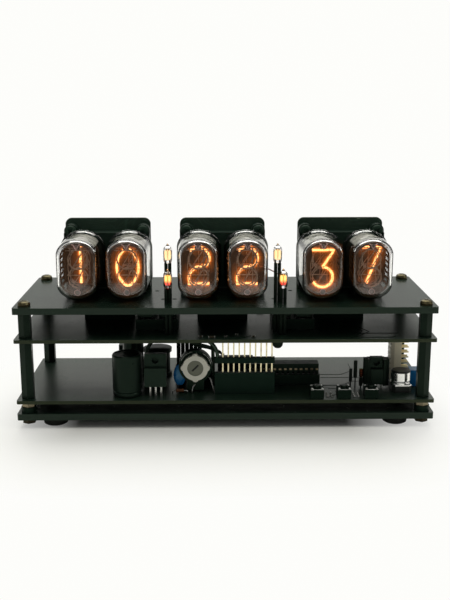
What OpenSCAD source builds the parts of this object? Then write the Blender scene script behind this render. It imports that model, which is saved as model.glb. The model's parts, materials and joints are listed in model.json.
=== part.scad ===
// Nixie tube clock: four decks stacked on hex posts, three twin-tube modules standing in
// slots of the top plate, two neon colons, and the supply, logic and setting switches on
// the lower board. Millimetres; +X is the viewer's right, +Y the back, +Z up.
// Origin: the middle of the footprint, on the surface that the feet stand on.

/* [Decks] */
// Width of the four decks
deck_w = 192; // [188:1:210]
// Depth of the four decks, front to back
deck_d = 68; // [67:1:84]
// Thickness of the acrylic top and base plates
acrylic_t = 3; // [2:0.5:4]
// Thickness of the circuit boards
board_t = 1.6; // [1.2:0.1:2]
// Radius of the deck corners
deck_corner_r = 1; // [0.5:0.25:2]

/* [Posts and feet] */
// Distance from a post axis to the side edge of a deck
post_side_inset = 4.7; // [4.5:0.1:5.5]
// Distance from a post axis to the front or back edge of a deck
post_end_inset = 5; // [4.5:0.1:6]
// Hex posts and nuts across their flats
post_af = 5.5; // [5:0.1:6]
// Radius of the M3 studs and screws
stud_r = 1.45; // [1.3:0.05:1.5]
// Length of the lower posts, main board to driver board
lower_gap = 27.3; // [27:0.1:32]
// Length of the upper posts, driver board to top plate
upper_gap = 11.8; // [11:0.1:15]
// Thickness of one hex nut
nut_h = 2.4; // [2:0.1:3]
// Thickness of the washers between the nuts and the base plate
washer_h = 2.4; // [1:0.1:3]
// Height of the rubber feet
foot_h = 4.2; // [4:0.1:7]
// Largest radius of the rubber feet
foot_r = 6; // [4:0.5:6.5]
// Distance from a foot axis to the side edge of the base
foot_side_inset = 16.3; // [15:0.1:24]
// Distance from a foot axis to the front or back edge of the base
foot_end_inset = 9; // [7:0.5:16]

/* [Tube modules] */
// Distance between neighbouring modules
module_pitch = 56.1; // [52:0.1:60]
// Width of a module board
module_w = 41; // [40.5:0.5:44]
// Height of a module board above the top plate
module_h = 34.8; // [34.5:0.1:40]
// Distance from the front edge of the decks to a module board
module_setback = 41; // [40.5:0.5:46]
// Distance between the two tubes of a module
tube_pitch = 22.5; // [22:0.1:23.5]
// Height of the tube axes above the top plate
tube_axis_h = 15.3; // [15.3:0.1:16]
// Depth of the socket block behind the tubes
socket_d = 7.5; // [7:0.1:9]
// Width of the tab that plugs a module into its connector
tab_w = 21.6; // [16:0.1:24]

/* [Nixie tubes] */
// Half width of the glass flange
flange_a = 10.5; // [10.2:0.1:10.8]
// Half height of the glass flange
flange_b = 15.2; // [14.8:0.1:15.2]
// Thickness of the glass flange
flange_t = 1.5; // [1:0.1:2]
// Half width of the glass at the front
face_a = 9.4; // [9:0.1:9.8]
// Half height of the glass at the front
face_b = 14; // [13.7:0.1:14.2]
// Length of the glass from the socket to the rounded front edge
glass_len = 25; // [22:0.1:27]
// Thickness of the glass
glass_t = 0.9; // [0.6:0.1:1]
// Height of a numeral
numeral_h = 17.6; // [16:0.1:18.2]
// Width of a numeral
numeral_w = 10.4; // [9:0.1:11.4]
// Width of a numeral's stroke
stroke_w = 0.35; // [0.3:0.05:0.7]
// Thickness of a numeral's sheet
numeral_t = 0.3; // [0.2:0.05:0.4]
// Distance between neighbouring numerals of a stack
numeral_pitch = 1.15; // [1:0.05:1.2]

/* [Colons] */
// Radius of a neon lamp
lamp_r = 2; // [1.9:0.1:2.2]
// Height of a neon lamp
lamp_h = 9; // [8:0.1:10.4]
// Height of the lower lamp above the top plate
lamp_low_h = 7.1; // [5:0.1:8]
// Height of the upper lamp above the top plate
lamp_high_h = 18.2; // [17.8:0.1:22]

/* [Lower deck] */
// Diameter of the filter capacitor
filter_d = 14; // [12:0.5:14.5]
// Height of the filter capacitor
filter_h = 19.9; // [15:0.1:25]
// Width of a setting switch
switch_w = 6.2; // [5.5:0.1:7]
// Distance between the setting switches
switch_pitch = 12.5; // [9:0.1:12.6]
// Height of a switch body
switch_h = 4.8; // [3.5:0.1:5.5]
// Travel of a setting button
button_travel = 0.25; // [0.2:0.05:0.4]
// Radius of the trimmer's turning disc
rotor_r = 6; // [5:0.1:6.8]
// Height of the trimmer's axis above the main board
trimmer_axis_h = 12.6; // [11:0.1:15]
// Pitch of the pins of headers and chips
pin_pitch = 2.54; // [2.4:0.01:2.6]

/* [Hidden] */
$fn = 40;
seat = 0.05;           // gap between a piece and the seat it slides into
clear = 0.3;           // free gap round a piece that passes through a deck
front_y = -deck_d/2;
post_x = deck_w/2 - post_side_inset;
post_y = deck_d/2 - post_end_inset;
foot_x = deck_w/2 - foot_side_inset;
foot_y = deck_d/2 - foot_end_inset;

base_z = foot_h;
washer_z = base_z + acrylic_t;
main_z = washer_z + washer_h + nut_h;
main_top = main_z + board_t;
driver_z = main_top + lower_gap;
driver_top = driver_z + board_t;
top_z = driver_top + upper_gap;
top_face = top_z + acrylic_t;

board_y = front_y + module_setback;       // front face of the module boards
socket_y = board_y - socket_d;            // front face of the socket blocks
middle_shift = -0.9;                      // the middle module stands a little to the left
row_shift = -0.3;
function module_x(m) = row_shift + (m - 1)*module_pitch + (m == 1 ? middle_shift : 0);
function tube_x(i) = module_x(floor(i/2)) + (i%2 == 0 ? -1 : 1)*tube_pitch/2;

// nixie tube, in its own frame: y = 0 on the socket, the viewer at -Y, z = 0 on the axis
numeral_order = [3, 8, 9, 4, 0, 5, 7, 2, 6, 1];
stem_t = 2.5;
rod_z = 10.4;
rod_r = 0.5;
eyelet_r = 1.05;
face_round = 3;
face_dome = 0.5;
cup_a = 7.9;
cup_b = 12;
cup_t = 0.3;
cup_front = -(glass_len - 3.2);
first_numeral = cup_front + 1;
cup_back = first_numeral + 9*numeral_pitch + numeral_t + 0.9;
mesh_t = 0.25;
pin_r = 0.55;
pin_len = 5.5;
pin_a = 6.4;
pin_b = 11;
nub_r = 2.2;

// colons
colon_x = [-26.3, 25.1];
colon_y = front_y + 9;
lamp_shift = [0, 1.25];                   // half the sideways step between the two lamps
lead_r = 0.3;
lead_x = 0.85;
sleeve_r = 0.8;
high_back = 3.3;                          // the upper lamp stands behind the lower one

// ---------- shared shapes ----------

// flat rectangle with round corners
module rounded_rect(w, d, r) {
    square([w - 2*r, d], center = true);
    square([w, d - 2*r], center = true);
    for (sx = [-1, 1], sy = [-1, 1])
        translate([sx*(w/2 - r), sy*(d/2 - r)]) circle(r);
}

// a flat outline drawn in x and z, y0 at its front face and t thick towards the back
module upright(t, y0 = 0) {
    translate([0, y0 + t, 0]) rotate([90, 0, 0]) linear_extrude(t) children();
}

// a cylinder along Y from y0 to y1
module bar_y(r, y0, y1) {
    translate([0, y1, 0]) rotate([90, 0, 0]) cylinder(r = r, h = y1 - y0);
}

module at_posts() {
    for (sx = [-1, 1], sy = [-1, 1]) translate([sx*post_x, sy*post_y, 0]) children();
}

module hex_prism(af, h) {
    rotate(30) cylinder(r = af/sqrt(3), h = h, $fn = 6);
}

module deck(z, t) {
    translate([0, 0, z]) linear_extrude(t) rounded_rect(deck_w, deck_d, deck_corner_r);
}

module post_holes(z, t) {
    at_posts() translate([0, 0, z - 1]) cylinder(r = stud_r + 0.15, h = t + 2);
}

// oval outline of the tube: straight sides and half-elliptic ends
oval_steps = 10;
oval_cap = 7.4;
function oval(a, b) = let(cap = oval_cap - (face_b - b)*0.5) concat(
    [for (k = [0:oval_steps]) let(t = 180*k/oval_steps) [a*cos(t), b - cap + cap*sin(t)]],
    [for (k = [0:oval_steps]) let(t = 180*k/oval_steps) [-a*cos(t), cap - b - cap*sin(t)]]);

// half height of that outline at x, and its half width at z
function oval_rise(a, b, x) = let(cap = oval_cap - (face_b - b)*0.5)
    b - cap + cap*sqrt(1 - pow(x/a, 2));
function oval_reach(a, b, z) = let(cap = oval_cap - (face_b - b)*0.5, c = abs(z) - b + cap)
    c <= 0 ? a : a*sqrt(1 - pow(c/cap, 2));

// ---------- decks and what holds them ----------

module rubber_feet() {
    color("#141414") for (sx = [-1, 1], sy = [-1, 1])
        translate([sx*foot_x, sy*foot_y, 0]) rotate_extrude()
            polygon([[0, 0], [foot_r - 1.2, 0], [foot_r - 0.4, 0.5], [foot_r, foot_h - 0.6],
                [foot_r - 0.3, foot_h], [0, foot_h]]);
}

module base_plate() {
    color("#1b1d1b") difference() {
        deck(base_z, acrylic_t);
        post_holes(base_z, acrylic_t);
    }
}

// a nut under the base plate and one under the main board on every stud
module stack_nuts() {
    color("#b08a3c") for (z = [base_z - nut_h, washer_z + washer_h]) at_posts()
        translate([0, 0, z]) difference() {
            hex_prism(post_af, nut_h);
            translate([0, 0, -1]) cylinder(r = stud_r + seat, h = nut_h + 2);
        }
}

module base_washers() {
    color("#4a4a45") at_posts() translate([0, 0, washer_z]) difference() {
        cylinder(r = post_af/2 + 0.75, h = washer_h);
        translate([0, 0, -1]) cylinder(r = stud_r + 0.15, h = washer_h + 2);
    }
}

module main_board() {
    color("#1a1f1b") difference() {
        deck(main_z, board_t);
        post_holes(main_z, board_t);
    }
}

post_bore = 6;
lower_stud = board_t + nut_h + washer_h + acrylic_t + nut_h;

module lower_posts() {
    color("#20241f") at_posts() difference() {
        union() {
            translate([0, 0, main_top]) hex_prism(post_af, lower_gap);
            translate([0, 0, main_top - lower_stud]) cylinder(r = stud_r, h = lower_stud + 1);
        }
        translate([0, 0, driver_z - post_bore]) cylinder(r = stud_r + seat, h = post_bore + 1);
    }
}

module driver_board() {
    color("#1a1f1b") difference() {
        deck(driver_z, board_t);
        post_holes(driver_z, board_t);
    }
}

module upper_posts() {
    stud = board_t + post_bore - 0.5;
    color("#20241f") at_posts() difference() {
        union() {
            translate([0, 0, driver_top]) hex_prism(post_af, upper_gap);
            translate([0, 0, driver_top - stud]) cylinder(r = stud_r, h = stud + 1);
        }
        translate([0, 0, top_z - post_bore]) cylinder(r = stud_r + seat, h = post_bore + 1);
    }
}

vent_r = 1.1;
vent_spots = [[-2.6, 8.6], [2.6, 8.6], [0, 18.5], [-6.5, 26], [6.5, 26]];

module top_plate() {
    color("#1b1d1b") difference() {
        deck(top_z, acrylic_t);
        post_holes(top_z, acrylic_t);
        for (m = [0:2]) translate([module_x(m) - tab_w/2 - clear, board_y - clear, top_z - 1])
            cube([tab_w + 2*clear, board_t + 2*clear, acrylic_t + 2]);
        for (c = [0, 1]) {
            at_leads(c) translate([0, 0, top_z - 1]) cylinder(r = sleeve_r + 0.15, h = acrylic_t + 2);
            for (p = vent_spots) translate([colon_x[c] + p[0], colon_y + p[1], top_z - 1])
                cylinder(r = vent_r, h = acrylic_t + 2);
        }
    }
}

screw_head_r = 2.9;
screw_head_h = 2.3;

// pan head along +Z with a cross recess
module pan_head(r, h) {
    difference() {
        rotate_extrude() polygon([[0, 0], [r, 0], [r, h*0.45], [r*0.86, h*0.8], [r*0.55, h],
            [0, h]]);
        for (a = [45, 135]) rotate(a) translate([-r*0.5, -r*0.09, h*0.45])
            cube([r, r*0.18, h]);
    }
}

module top_screws() {
    length = acrylic_t + post_bore - 1;
    color("#a8904e") at_posts() translate([0, 0, top_face]) {
        pan_head(screw_head_r, screw_head_h);
        translate([0, 0, -length]) cylinder(r = stud_r, h = length + 0.5);
    }
}

// ---------- tube modules ----------

module at_module(m) {
    translate([module_x(m), board_y, top_face]) children();
}

module at_tube(i) {
    translate([tube_x(i), socket_y, top_face + tube_axis_h]) children();
}

ear_x = module_w/2 - 3.3;
ear_h = 29.3;
ear_r = 3.2;
ear_t = socket_d - 2;                     // the screw heads end level with the block
corner_r = 3;
tab_h = acrylic_t + upper_gap - 2.5;

module module_outline() {
    translate([-module_w/2, 0]) square([module_w, module_h - corner_r]);
    translate([-module_w/2 + corner_r, 0]) square([module_w - 2*corner_r, module_h]);
    for (s = [-1, 1]) translate([s*(module_w/2 - corner_r), module_h - corner_r])
        circle(corner_r);
    translate([-tab_w/2, -tab_h]) square([tab_w, tab_h + 1]);
}

module module_board(m) {
    color("#171b18") at_module(m) difference() {
        upright(board_t) module_outline();
        for (s = [-1, 1]) translate([s*ear_x, 0, ear_h]) bar_y(stud_r + 0.15, -1, board_t + 1);
    }
}

socket_w = module_w - 0.4;
socket_low = 2.4;
socket_top = 28.8;

// one moulded block per module: pin bores, a well for each tube's seal, two screw ears
module socket_blocks() {
    color("#151515") for (m = [0:2]) {
        difference() {
            at_module(m) {
                translate([-socket_w/2, -socket_d, socket_low])
                    cube([socket_w, socket_d, socket_top - socket_low]);
                for (s = [-1, 1]) {
                    translate([s*ear_x, 0, ear_h]) bar_y(ear_r, -ear_t, 0);
                    translate([s*ear_x - ear_r, -ear_t, socket_top - 2])
                        cube([2*ear_r, ear_t, ear_h - socket_top + 2]);
                }
            }
            at_module(m) for (s = [-1, 1]) translate([s*ear_x, 0, ear_h]) {
                bar_y(stud_r + 0.15, -socket_d - 1, 1);
                bar_y(screw_head_r + clear, -socket_d - 1, -ear_t);
            }
            for (i = [2*m, 2*m + 1]) at_tube(i) {
                bar_y(nub_r + 0.6, -1, 6);
                at_pins() bar_y(pin_r + 0.1, -1, pin_len + 0.5);
            }
        }
    }
}

module socket_screws() {
    length = ear_t + board_t + nut_h;
    color("#232622") for (m = [0:2], s = [-1, 1]) at_module(m)
        translate([s*ear_x, -ear_t, ear_h]) {
            rotate([90, 0, 0]) pan_head(screw_head_r - 0.1, 1.8);
            bar_y(stud_r, -0.5, length);
        }
}

module socket_nuts() {
    color("#8f8f88") for (m = [0:2], s = [-1, 1]) at_module(m)
        translate([s*ear_x, board_t + nut_h, ear_h]) rotate([90, 0, 0]) difference() {
            hex_prism(post_af, nut_h);
            translate([0, 0, -1]) cylinder(r = stud_r + seat, h = nut_h + 2);
        }
}

connector_w = 24.6;
connector_d = 8.6;
connector_h = upper_gap - 0.4;

// upright block on the driver board with a slot that grips the module's tab
module module_connectors() {
    mid_y = board_y + board_t/2;
    color("#121312") for (m = [0:2]) translate([module_x(m), mid_y, driver_top])
        difference() {
            translate([-connector_w/2, -connector_d/2, 0])
                cube([connector_w, connector_d, connector_h]);
            translate([-tab_w/2 - seat, -board_t/2 - seat, 2.5])
                cube([tab_w + 2*seat, board_t + 2*seat, connector_h]);
            for (s = [-1, 1]) translate([s*7, -connector_d/2 + 1, connector_h/2])
                bar_y(1.9, -2, 0.2);
        }
}

// ---------- nixie tubes ----------

// closed rounded body: a stack of ovals from the socket to the domed face
module glass_body(inset) {
    len = glass_len - inset;
    rings = concat(
        [[inset > 0 ? 1 : 0, -0.5], [-(glass_len - face_round), 0]],
        [for (t = [30, 60, 90]) [-(glass_len - face_round) - (face_round - inset)*sin(t),
            face_round*(1 - cos(t))]],
        [[-len - face_dome, face_round + 3]]);
    hull() for (r = rings) upright(0.02, r[0])
        polygon(oval(face_a - inset - r[1], face_b - inset - r[1]));
}

module tube_glass(i) {
    color([0.85, 0.88, 0.86, 0.35]) at_tube(i) difference() {
        union() {
            glass_body(0);
            upright(flange_t, -flange_t) polygon(oval(flange_a, flange_b));
        }
        glass_body(glass_t);
        translate([-20, 0, -20]) cube([40, 5, 40]);
    }
}

module at_pins() {
    for (k = [0:11]) translate([pin_a*cos(30*k + 15), 0, pin_b*sin(30*k + 15)]) children();
}

// pressed glass base inside the flange, with the tip where the tube was pumped out
module tube_stems() {
    color("#b9b6a8") for (i = [0:5]) at_tube(i) {
        upright(stem_t, -stem_t) polygon(oval(face_a - glass_t - 0.1, face_b - glass_t - 0.1));
        translate([0, -0.1, 0]) rotate([-90, 0, 0]) rotate_extrude()
            polygon([[0, 0], [nub_r, 0], [nub_r, 2], [1.5, 3.6], [0.6, 4.4], [0, 4.5]]);
    }
}

module tube_pins() {
    color("#b8b8b0") for (i = [0:5]) at_tube(i) at_pins() bar_y(pin_r, 0, pin_len);
}

// sheet cup behind the stack, with a ladder of windows down each side
module anode_cups() {
    windows = 8;
    step = 2.5;
    color("#8d8a80") for (i = [0:5]) at_tube(i) difference() {
        upright(cup_back - cup_front, cup_front) polygon(oval(cup_a, cup_b));
        upright(cup_back - cup_t - cup_front + 1, cup_front - 1)
            polygon(oval(cup_a - cup_t, cup_b - cup_t));
        for (k = [0:windows - 1]) translate([-10, cup_front + 2.5, (k - windows/2 + 0.5)*step - 0.8])
            cube([20, cup_back - cup_front - 5, 1.6]);
        for (s = [-1, 1]) translate([0, 0, s*rod_z]) bar_y(rod_r + 0.1, cup_back - 1, cup_back + 1);
    }
}

// wire grid in front of the stack, in a frame with a lug for each rod
module anode_meshes() {
    wire = 0.12;
    rim = 0.7;
    y0 = cup_front - mesh_t;
    color("#9a978c") for (i = [0:5]) at_tube(i) {
        upright(mesh_t, y0) difference() {
            polygon(oval(cup_a, cup_b));
            polygon(oval(cup_a - rim, cup_b - rim));
        }
        for (s = [-1, 1]) difference() {
            translate([-1.4, y0 + 0.03, s*(rod_z + 0.2) - 1.3]) cube([2.8, mesh_t - 0.06, 2.6]);
            translate([0, 0, s*rod_z]) bar_y(rod_r + 0.1, y0 - 1, y0 + 1);
        }
        for (x = [-5.2, -2.6, 2.6, 5.2]) {
            h = oval_rise(cup_a - rim/2, cup_b - rim/2, x);
            translate([x - wire/2, y0 + 0.02, -h]) cube([wire, wire*0.7, 2*h]);
        }
        for (z = [-6.4, -3.2, 0, 3.2, 6.4]) {
            w = oval_reach(cup_a - rim/2, cup_b - rim/2, z);
            translate([-w, y0 + 0.09, z - wire/2]) cube([2*w, wire*0.7, wire]);
        }
    }
}

module stack_rods() {
    color("#c9c4b4") for (i = [0:5], s = [-1, 1]) at_tube(i) translate([0, 0, s*rod_z]) {
        bar_y(rod_r, cup_front - mesh_t - 0.4, -stem_t);
        bar_y(eyelet_r, cup_front - mesh_t - 0.8, cup_front - mesh_t);
    }
}

// ceramic rings that keep the numerals apart on the rods
module stack_spacers() {
    color("#d8d3c4") for (i = [0:5], s = [-1, 1]) at_tube(i) translate([0, 0, s*rod_z])
        for (k = [-1:9]) {
            y0 = k < 0 ? cup_front : first_numeral + k*numeral_pitch + numeral_t;
            y1 = k == 9 ? cup_back - cup_t : first_numeral + (k + 1)*numeral_pitch;
            difference() {
                bar_y(eyelet_r, y0, y1);
                bar_y(rod_r + 0.1, y0 - 1, y1 + 1);
            }
        }
}

// ---------- numerals, drawn in a cell of numeral_w by numeral_h ----------

nw = numeral_w/2 - stroke_w/2;
nh = numeral_h/2 - stroke_w/2;

module wedge(r, a0, a1) {
    polygon(concat([[0, 0]], [for (k = [0:6]) let(t = a0 + (a1 - a0)*k/6)
        [2*r*cos(t), 2*r*sin(t)]]));
}

module arc(c, r, a0, a1) {
    translate(c) intersection() {
        difference() {
            circle(r + stroke_w/2);
            circle(r - stroke_w/2);
        }
        wedge(r + stroke_w, a0, a1);
    }
}

module ring(c, r) {
    translate(c) difference() {
        circle(r + stroke_w/2);
        circle(r - stroke_w/2);
    }
}

module stroke(p, q) {
    v = q - p;
    translate(p) rotate(atan2(v[1], v[0])) translate([-stroke_w/2, -stroke_w/2])
        square([norm(v) + stroke_w, stroke_w]);
}

// four tangent arcs: radius e at the ends, a larger one down the sides
module oval_ring(a, b, e) {
    side = (pow(b - e, 2) + a*a - e*e)/(2*(a - e));
    t = atan2(b - e, side - a);
    arc([a - side, 0], side, -t, t);
    arc([side - a, 0], side, 180 - t, 180 + t);
    arc([0, b - e], e, t, 180 - t);
    arc([0, e - b], e, 180 + t, 360 - t);
}

module glyph(n) {
    low = 0.54*nh;                         // radius of the lower bowls
    high = 0.5*nh;                         // radius of the upper bowls
    if (n == 0) oval_ring(nw, nh, nw*0.5);
    if (n == 1) stroke([0, -nh], [0, nh]);
    if (n == 2) {
        arc([0, nh - nw], nw, -42, 140);
        stroke([nw*0.74, nh - nw*1.67], [-nw*0.3, -nh*0.1]);
        arc([nw*0.1, -nh*0.1 - nw], nw, 112, 205);
        stroke([-nw, -nh], [nw, -nh]);
    }
    if (n == 3) {
        stroke([-nw, nh], [nw, nh]);
        stroke([nw, nh], [0, 2*low - nh]);
        arc([0, low - nh], low, -150, 90);
    }
    if (n == 4) {
        stroke([nw*0.5, nh], [-nw, -nh*0.4]);
        stroke([-nw, -nh*0.4], [nw, -nh*0.4]);
        stroke([nw*0.5, nh], [nw*0.5, -nh]);
    }
    if (n == 5) {
        stroke([-nw*0.8, nh], [nw, nh]);
        stroke([-nw*0.8, nh], [-nw*0.8, nh*0.02]);
        arc([0, low - nh], low, -150, 130);
    }
    if (n == 6) {
        ring([0, low - nh], low);
        stroke([-low*0.9, low*1.4 - nh], [nw*0.6, nh]);
    }
    if (n == 7) {
        stroke([-nw, nh], [nw, nh]);
        stroke([nw, nh], [-nw*0.25, -nh]);
    }
    if (n == 8) {
        ring([0, nh - high], high);
        ring([0, low*0.94 - nh], low*0.94);
    }
    if (n == 9) {
        ring([0, nh - low], low);
        stroke([low*0.9, nh - low*1.4], [-nw*0.6, -nh]);
    }
}

// where the glyph meets its two lugs: the x of its topmost and bottommost point
function foot_of(n) = n == 4 ? nw*0.5 : n == 7 ? -nw*0.25 : n == 9 ? -nw*0.6 : 0;
function head_of(n) = n == 4 ? nw*0.5 : n == 6 ? nw*0.6 : 0;

module numeral(n) {
    difference() {
        union() {
            glyph(n);
            stroke([head_of(n), nh], [0, rod_z - eyelet_r*0.6]);
            stroke([foot_of(n), -nh], [0, -rod_z + eyelet_r*0.6]);
            for (s = [-1, 1]) translate([0, s*rod_z]) circle(eyelet_r + 0.15);
        }
        for (s = [-1, 1]) translate([0, s*rod_z]) circle(rod_r + 0.1);
    }
}

module numerals(i) {
    color("#8a8272") at_tube(i) for (k = [0:9])
        upright(numeral_t, first_numeral + k*numeral_pitch) numeral(numeral_order[k]);
}

// ---------- colons ----------

// the two leads of the lower lamp, then the two of the upper lamp
module at_leads(c) {
    for (up = [0, 1], s = [-1, 1])
        translate([colon_x[c] + (up ? -1 : 1)*lamp_shift[c] + s*lead_x,
            colon_y + up*high_back, 0]) children();
}

module at_lamp(c, up) {
    translate([colon_x[c] + (up ? -1 : 1)*lamp_shift[c], colon_y + up*high_back,
        top_face + (up ? lamp_high_h : lamp_low_h)]) children();
}

module colon_lamps() {
    wall = 0.35;
    color([0.9, 0.9, 0.86, 0.4]) for (c = [0, 1], up = [0, 1]) at_lamp(c, up) rotate_extrude()
        polygon([[1.4, 0], [lamp_r - wall, 1.6], [lamp_r - wall, lamp_h - 2.4],
            [0.9, lamp_h - 1.2], [0, lamp_h - 1.2], [0, lamp_h], [0.4, lamp_h],
            [0.8, lamp_h - 0.6], [lamp_r*0.85, lamp_h - 1.4], [lamp_r, lamp_h - 2.4],
            [lamp_r, 1.6], [1.75, 0]]);
}

// a wire from the driver board up through the top plate and its electrode in the lamp
module colon_electrodes() {
    rod = 5.4;
    color("#9c9484") for (c = [0, 1], up = [0, 1], s = [-1, 1]) {
        head = top_face + (up ? lamp_high_h : lamp_low_h);
        translate([colon_x[c] + (up ? -1 : 1)*lamp_shift[c] + s*lead_x,
            colon_y + up*high_back, 0]) {
            translate([0, 0, driver_top]) cylinder(r = lead_r, h = head + 2 - driver_top);
        }
        at_lamp(c, up) translate([s*lead_x*0.6, 0, 1.25]) cylinder(r = 0.45, h = rod);
    }
}

module colon_sleeves() {
    color("#121212") for (c = [0, 1], up = [0, 1], s = [-1, 1])
        translate([colon_x[c] + (up ? -1 : 1)*lamp_shift[c] + s*lead_x,
            colon_y + up*high_back, driver_top + seat]) {
            length = top_face - driver_top + (up ? lamp_high_h : lamp_low_h) - 2*seat;
            difference() {
                cylinder(r = sleeve_r, h = length);
                translate([0, 0, -1]) cylinder(r = lead_r + seat, h = length + 2);
            }
        }
}

// ---------- lower deck ----------

module on_main(x, y) {
    translate([x, front_y + y, main_top]) children();
}

// upright radial capacitor: rolled rim, vented top, rubber bung and two leads
module radial_can(d, h) {
    difference() {
        rotate_extrude() polygon([[0, 0.4], [d/2 - 0.9, 0.4], [d/2 - 0.5, 0], [d/2 - 0.1, 0.5],
            [d/2, 1.2], [d/2, 1.8], [d/2 - 0.35, 2.3], [d/2, 2.8], [d/2, h - 0.6],
            [d/2 - 0.5, h], [d/2 - 1.2, h], [d/2 - 1.5, h - 0.35], [0, h - 0.35]]);
        for (a = [0, 60, 120]) rotate(a) translate([-d*0.3, -0.15, h - 0.6])
            cube([d*0.6, 0.3, 1]);
    }
}

module filter_capacitor() {
    color("#20251f") on_main(-45.7, 9.4) radial_can(filter_d, filter_h);
}

module reservoir_capacitor() {
    color("#1b1f1b") on_main(-45, 34) radial_can(10, lower_gap - 0.4);
}

// transistor package: body, thinner tab with a hole, three legs
module package(w, d, h, leg_h) {
    tab_t = 0.6*d;
    difference() {
        union() {
            translate([-w/2, -d/2, leg_h]) cube([w, d, 0.58*h]);
            translate([-w/2, d/2 - tab_t, leg_h]) cube([w, tab_t, h]);
        }
        translate([0, 0, leg_h + 0.8*h]) bar_y(1.6, -d, d/2 - 0.7);
    }
    for (k = [-1:1]) translate([k*pin_pitch - 0.4, -0.25, 0]) cube([0.8, 0.5, leg_h + 0.5]);
}

module power_regulator() {
    color("#262a26") on_main(-32.5, 6.8) package(10.2, 4.6, 15.4, 5);
}

module disc_capacitor() {
    r = 3.6;
    color("#0a5f9a") on_main(-20.6, 18) {
        translate([0, 0, 7.6]) rotate([90, 0, 0]) rotate_extrude()
            polygon([[0, -1.3], [r*0.7, -1.15], [r, -0.5], [r, 0.5], [r*0.7, 1.15], [0, 1.3]]);
        for (s = [-1, 1]) translate([s*pin_pitch/2*1.5, 0, 0]) cylinder(r = 0.3, h = 6.2);
    }
}

trimmer_x = -14.1;
trimmer_y = 11.4;       // back of the turning disc, from the front edge
trimmer_r = 7.8;
rotor_t = 2.6;
rotor_pin_r = 1.5;

// round housing on a foot, with the bore that the rotor turns in
module trimmer_body() {
    color("#161716") on_main(trimmer_x, trimmer_y) {
        difference() {
            union() {
                translate([0, 0, trimmer_axis_h]) bar_y(trimmer_r, 0, 4.6);
                translate([-4, 0, 1.2]) cube([8, 4.6, trimmer_axis_h - 1.2]);
            }
            translate([0, 0, trimmer_axis_h]) {
                bar_y(rotor_pin_r + seat, -1, 3.4);
                difference() {
                    bar_y(rotor_r + 0.7, -1, 0.8);
                    bar_y(rotor_r*0.8, -2, 1);
                }
            }
        }
        for (k = [-1:1]) translate([k*pin_pitch, 2.3, 0]) cylinder(r = 0.4, h = 1.5);
    }
}

// turning disc: four finger bumps, a raised centre with the screwdriver slot
module trimmer_rotor() {
    color("#d9d6c6") on_main(trimmer_x, trimmer_y) translate([0, 0, trimmer_axis_h])
        difference() {
            union() {
                bar_y(rotor_r, -rotor_t - seat, -seat);
                for (a = [0, 90, 180, 270]) rotate([0, -a, 0]) translate([rotor_r - 0.7, 0, 0])
                    bar_y(1.5, -rotor_t - seat + 0.2, -seat - 0.2);
                bar_y(rotor_pin_r, -1, 3);
            }
            bar_y(rotor_r*0.62, -rotor_t - 1, -rotor_t + 0.45);
            rotate([0, -45, 0]) translate([-2, -rotor_t - 1, -0.35]) cube([4, 2.2, 0.7]);
        }
}

header_x = 8.9;
header_n = 11;
header_w = header_n*pin_pitch;
header_d = 2.6;
header_h = 10.3;
header_back = 11.3;     // from the front edge to the block's back face
strip_z = 15;           // underside of the strip that holds the pins, above the main board
strip_h = 2.6;

module header_row(first) {
    for (k = [first:header_n - 1])
        translate([(k - (header_n - 1)/2)*pin_pitch, -header_d/2, 0]) children();
}

// socket strip on the main board with square wells, and the strip that holds the pins
module header_socket() {
    color("#161a16") on_main(header_x, header_back) {
        difference() {
            translate([-header_w/2, -header_d, 0]) cube([header_w, header_d, header_h]);
            header_row(0) translate([-0.45, -0.45, 1.5]) cube([0.9, 0.9, header_h]);
        }
        difference() {
            translate([-header_w/2, -header_d, strip_z]) cube([header_w, header_d, strip_h]);
            header_row(1) translate([-0.37, -0.37, strip_z - 1])
                cube([0.74, 0.74, strip_h + 2]);
        }
    }
}

// long square pins from the wells to the driver board; the first position is left empty
module header_pins() {
    color("#c9a552") on_main(header_x, header_back) header_row(1)
        translate([-0.32, -0.32, 2]) cube([0.64, 0.64, lower_gap - 2]);
}

chip_w = 6.4;
main_chip_x = 27.6;
main_chip_y = 26;
main_chip_pins = 14;
decoder_pins = 8;
decoder_x = [-37, -27.1, 26.9, 36.7];
decoder_y = 26;
socket_h = 5.4;

// dual-in-line socket along X, open in the middle, n pins a side
module chip_socket(n) {
    l = n*pin_pitch;
    row = 7.62;
    difference() {
        translate([-l/2, -row/2 - 1.2, 0.5]) cube([l, row + 2.4, socket_h - 0.5]);
        translate([-l/2 + 2.2, -row/2 + 1.5, -1]) cube([l - 4.4, row - 3, socket_h + 2]);
    }
    for (k = [0:n - 1], s = [-1, 1]) translate([(k - (n - 1)/2)*pin_pitch, s*row/2, 0])
        translate([-0.3, -0.3, 0]) cube([0.6, 0.6, 1]);
}

// chip body on its socket, a half-round notch at one end, shouldered legs down both sides
module chip(n) {
    l = n*pin_pitch - 0.8;
    row = 7.62;
    z0 = socket_h + 1.1;
    difference() {
        translate([-l/2, -chip_w/2, z0]) cube([l, chip_w, 3.8]);
        translate([-l/2, 0, z0 + 2.8]) cylinder(r = 1, h = 2);
    }
    for (k = [0:n - 1], s = [-1, 1]) translate([(k - (n - 1)/2)*pin_pitch - 0.6, 0, 0]) {
        translate([0, s > 0 ? chip_w/2 - 0.3 : -row/2 - 0.15, z0 + 1.4])
            cube([1.2, (row - chip_w)/2 + 0.45, 0.3]);
        translate([0, s*row/2 - 0.15, socket_h]) cube([1.2, 0.3, 2.7]);
    }
}

module at_decoders() {
    for (x = decoder_x) translate([x, front_y + decoder_y, driver_top]) rotate(90) children();
}

module chip_sockets() {
    color("#171917") {
        on_main(main_chip_x, main_chip_y) chip_socket(main_chip_pins);
        at_decoders() chip_socket(decoder_pins);
    }
}

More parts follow.
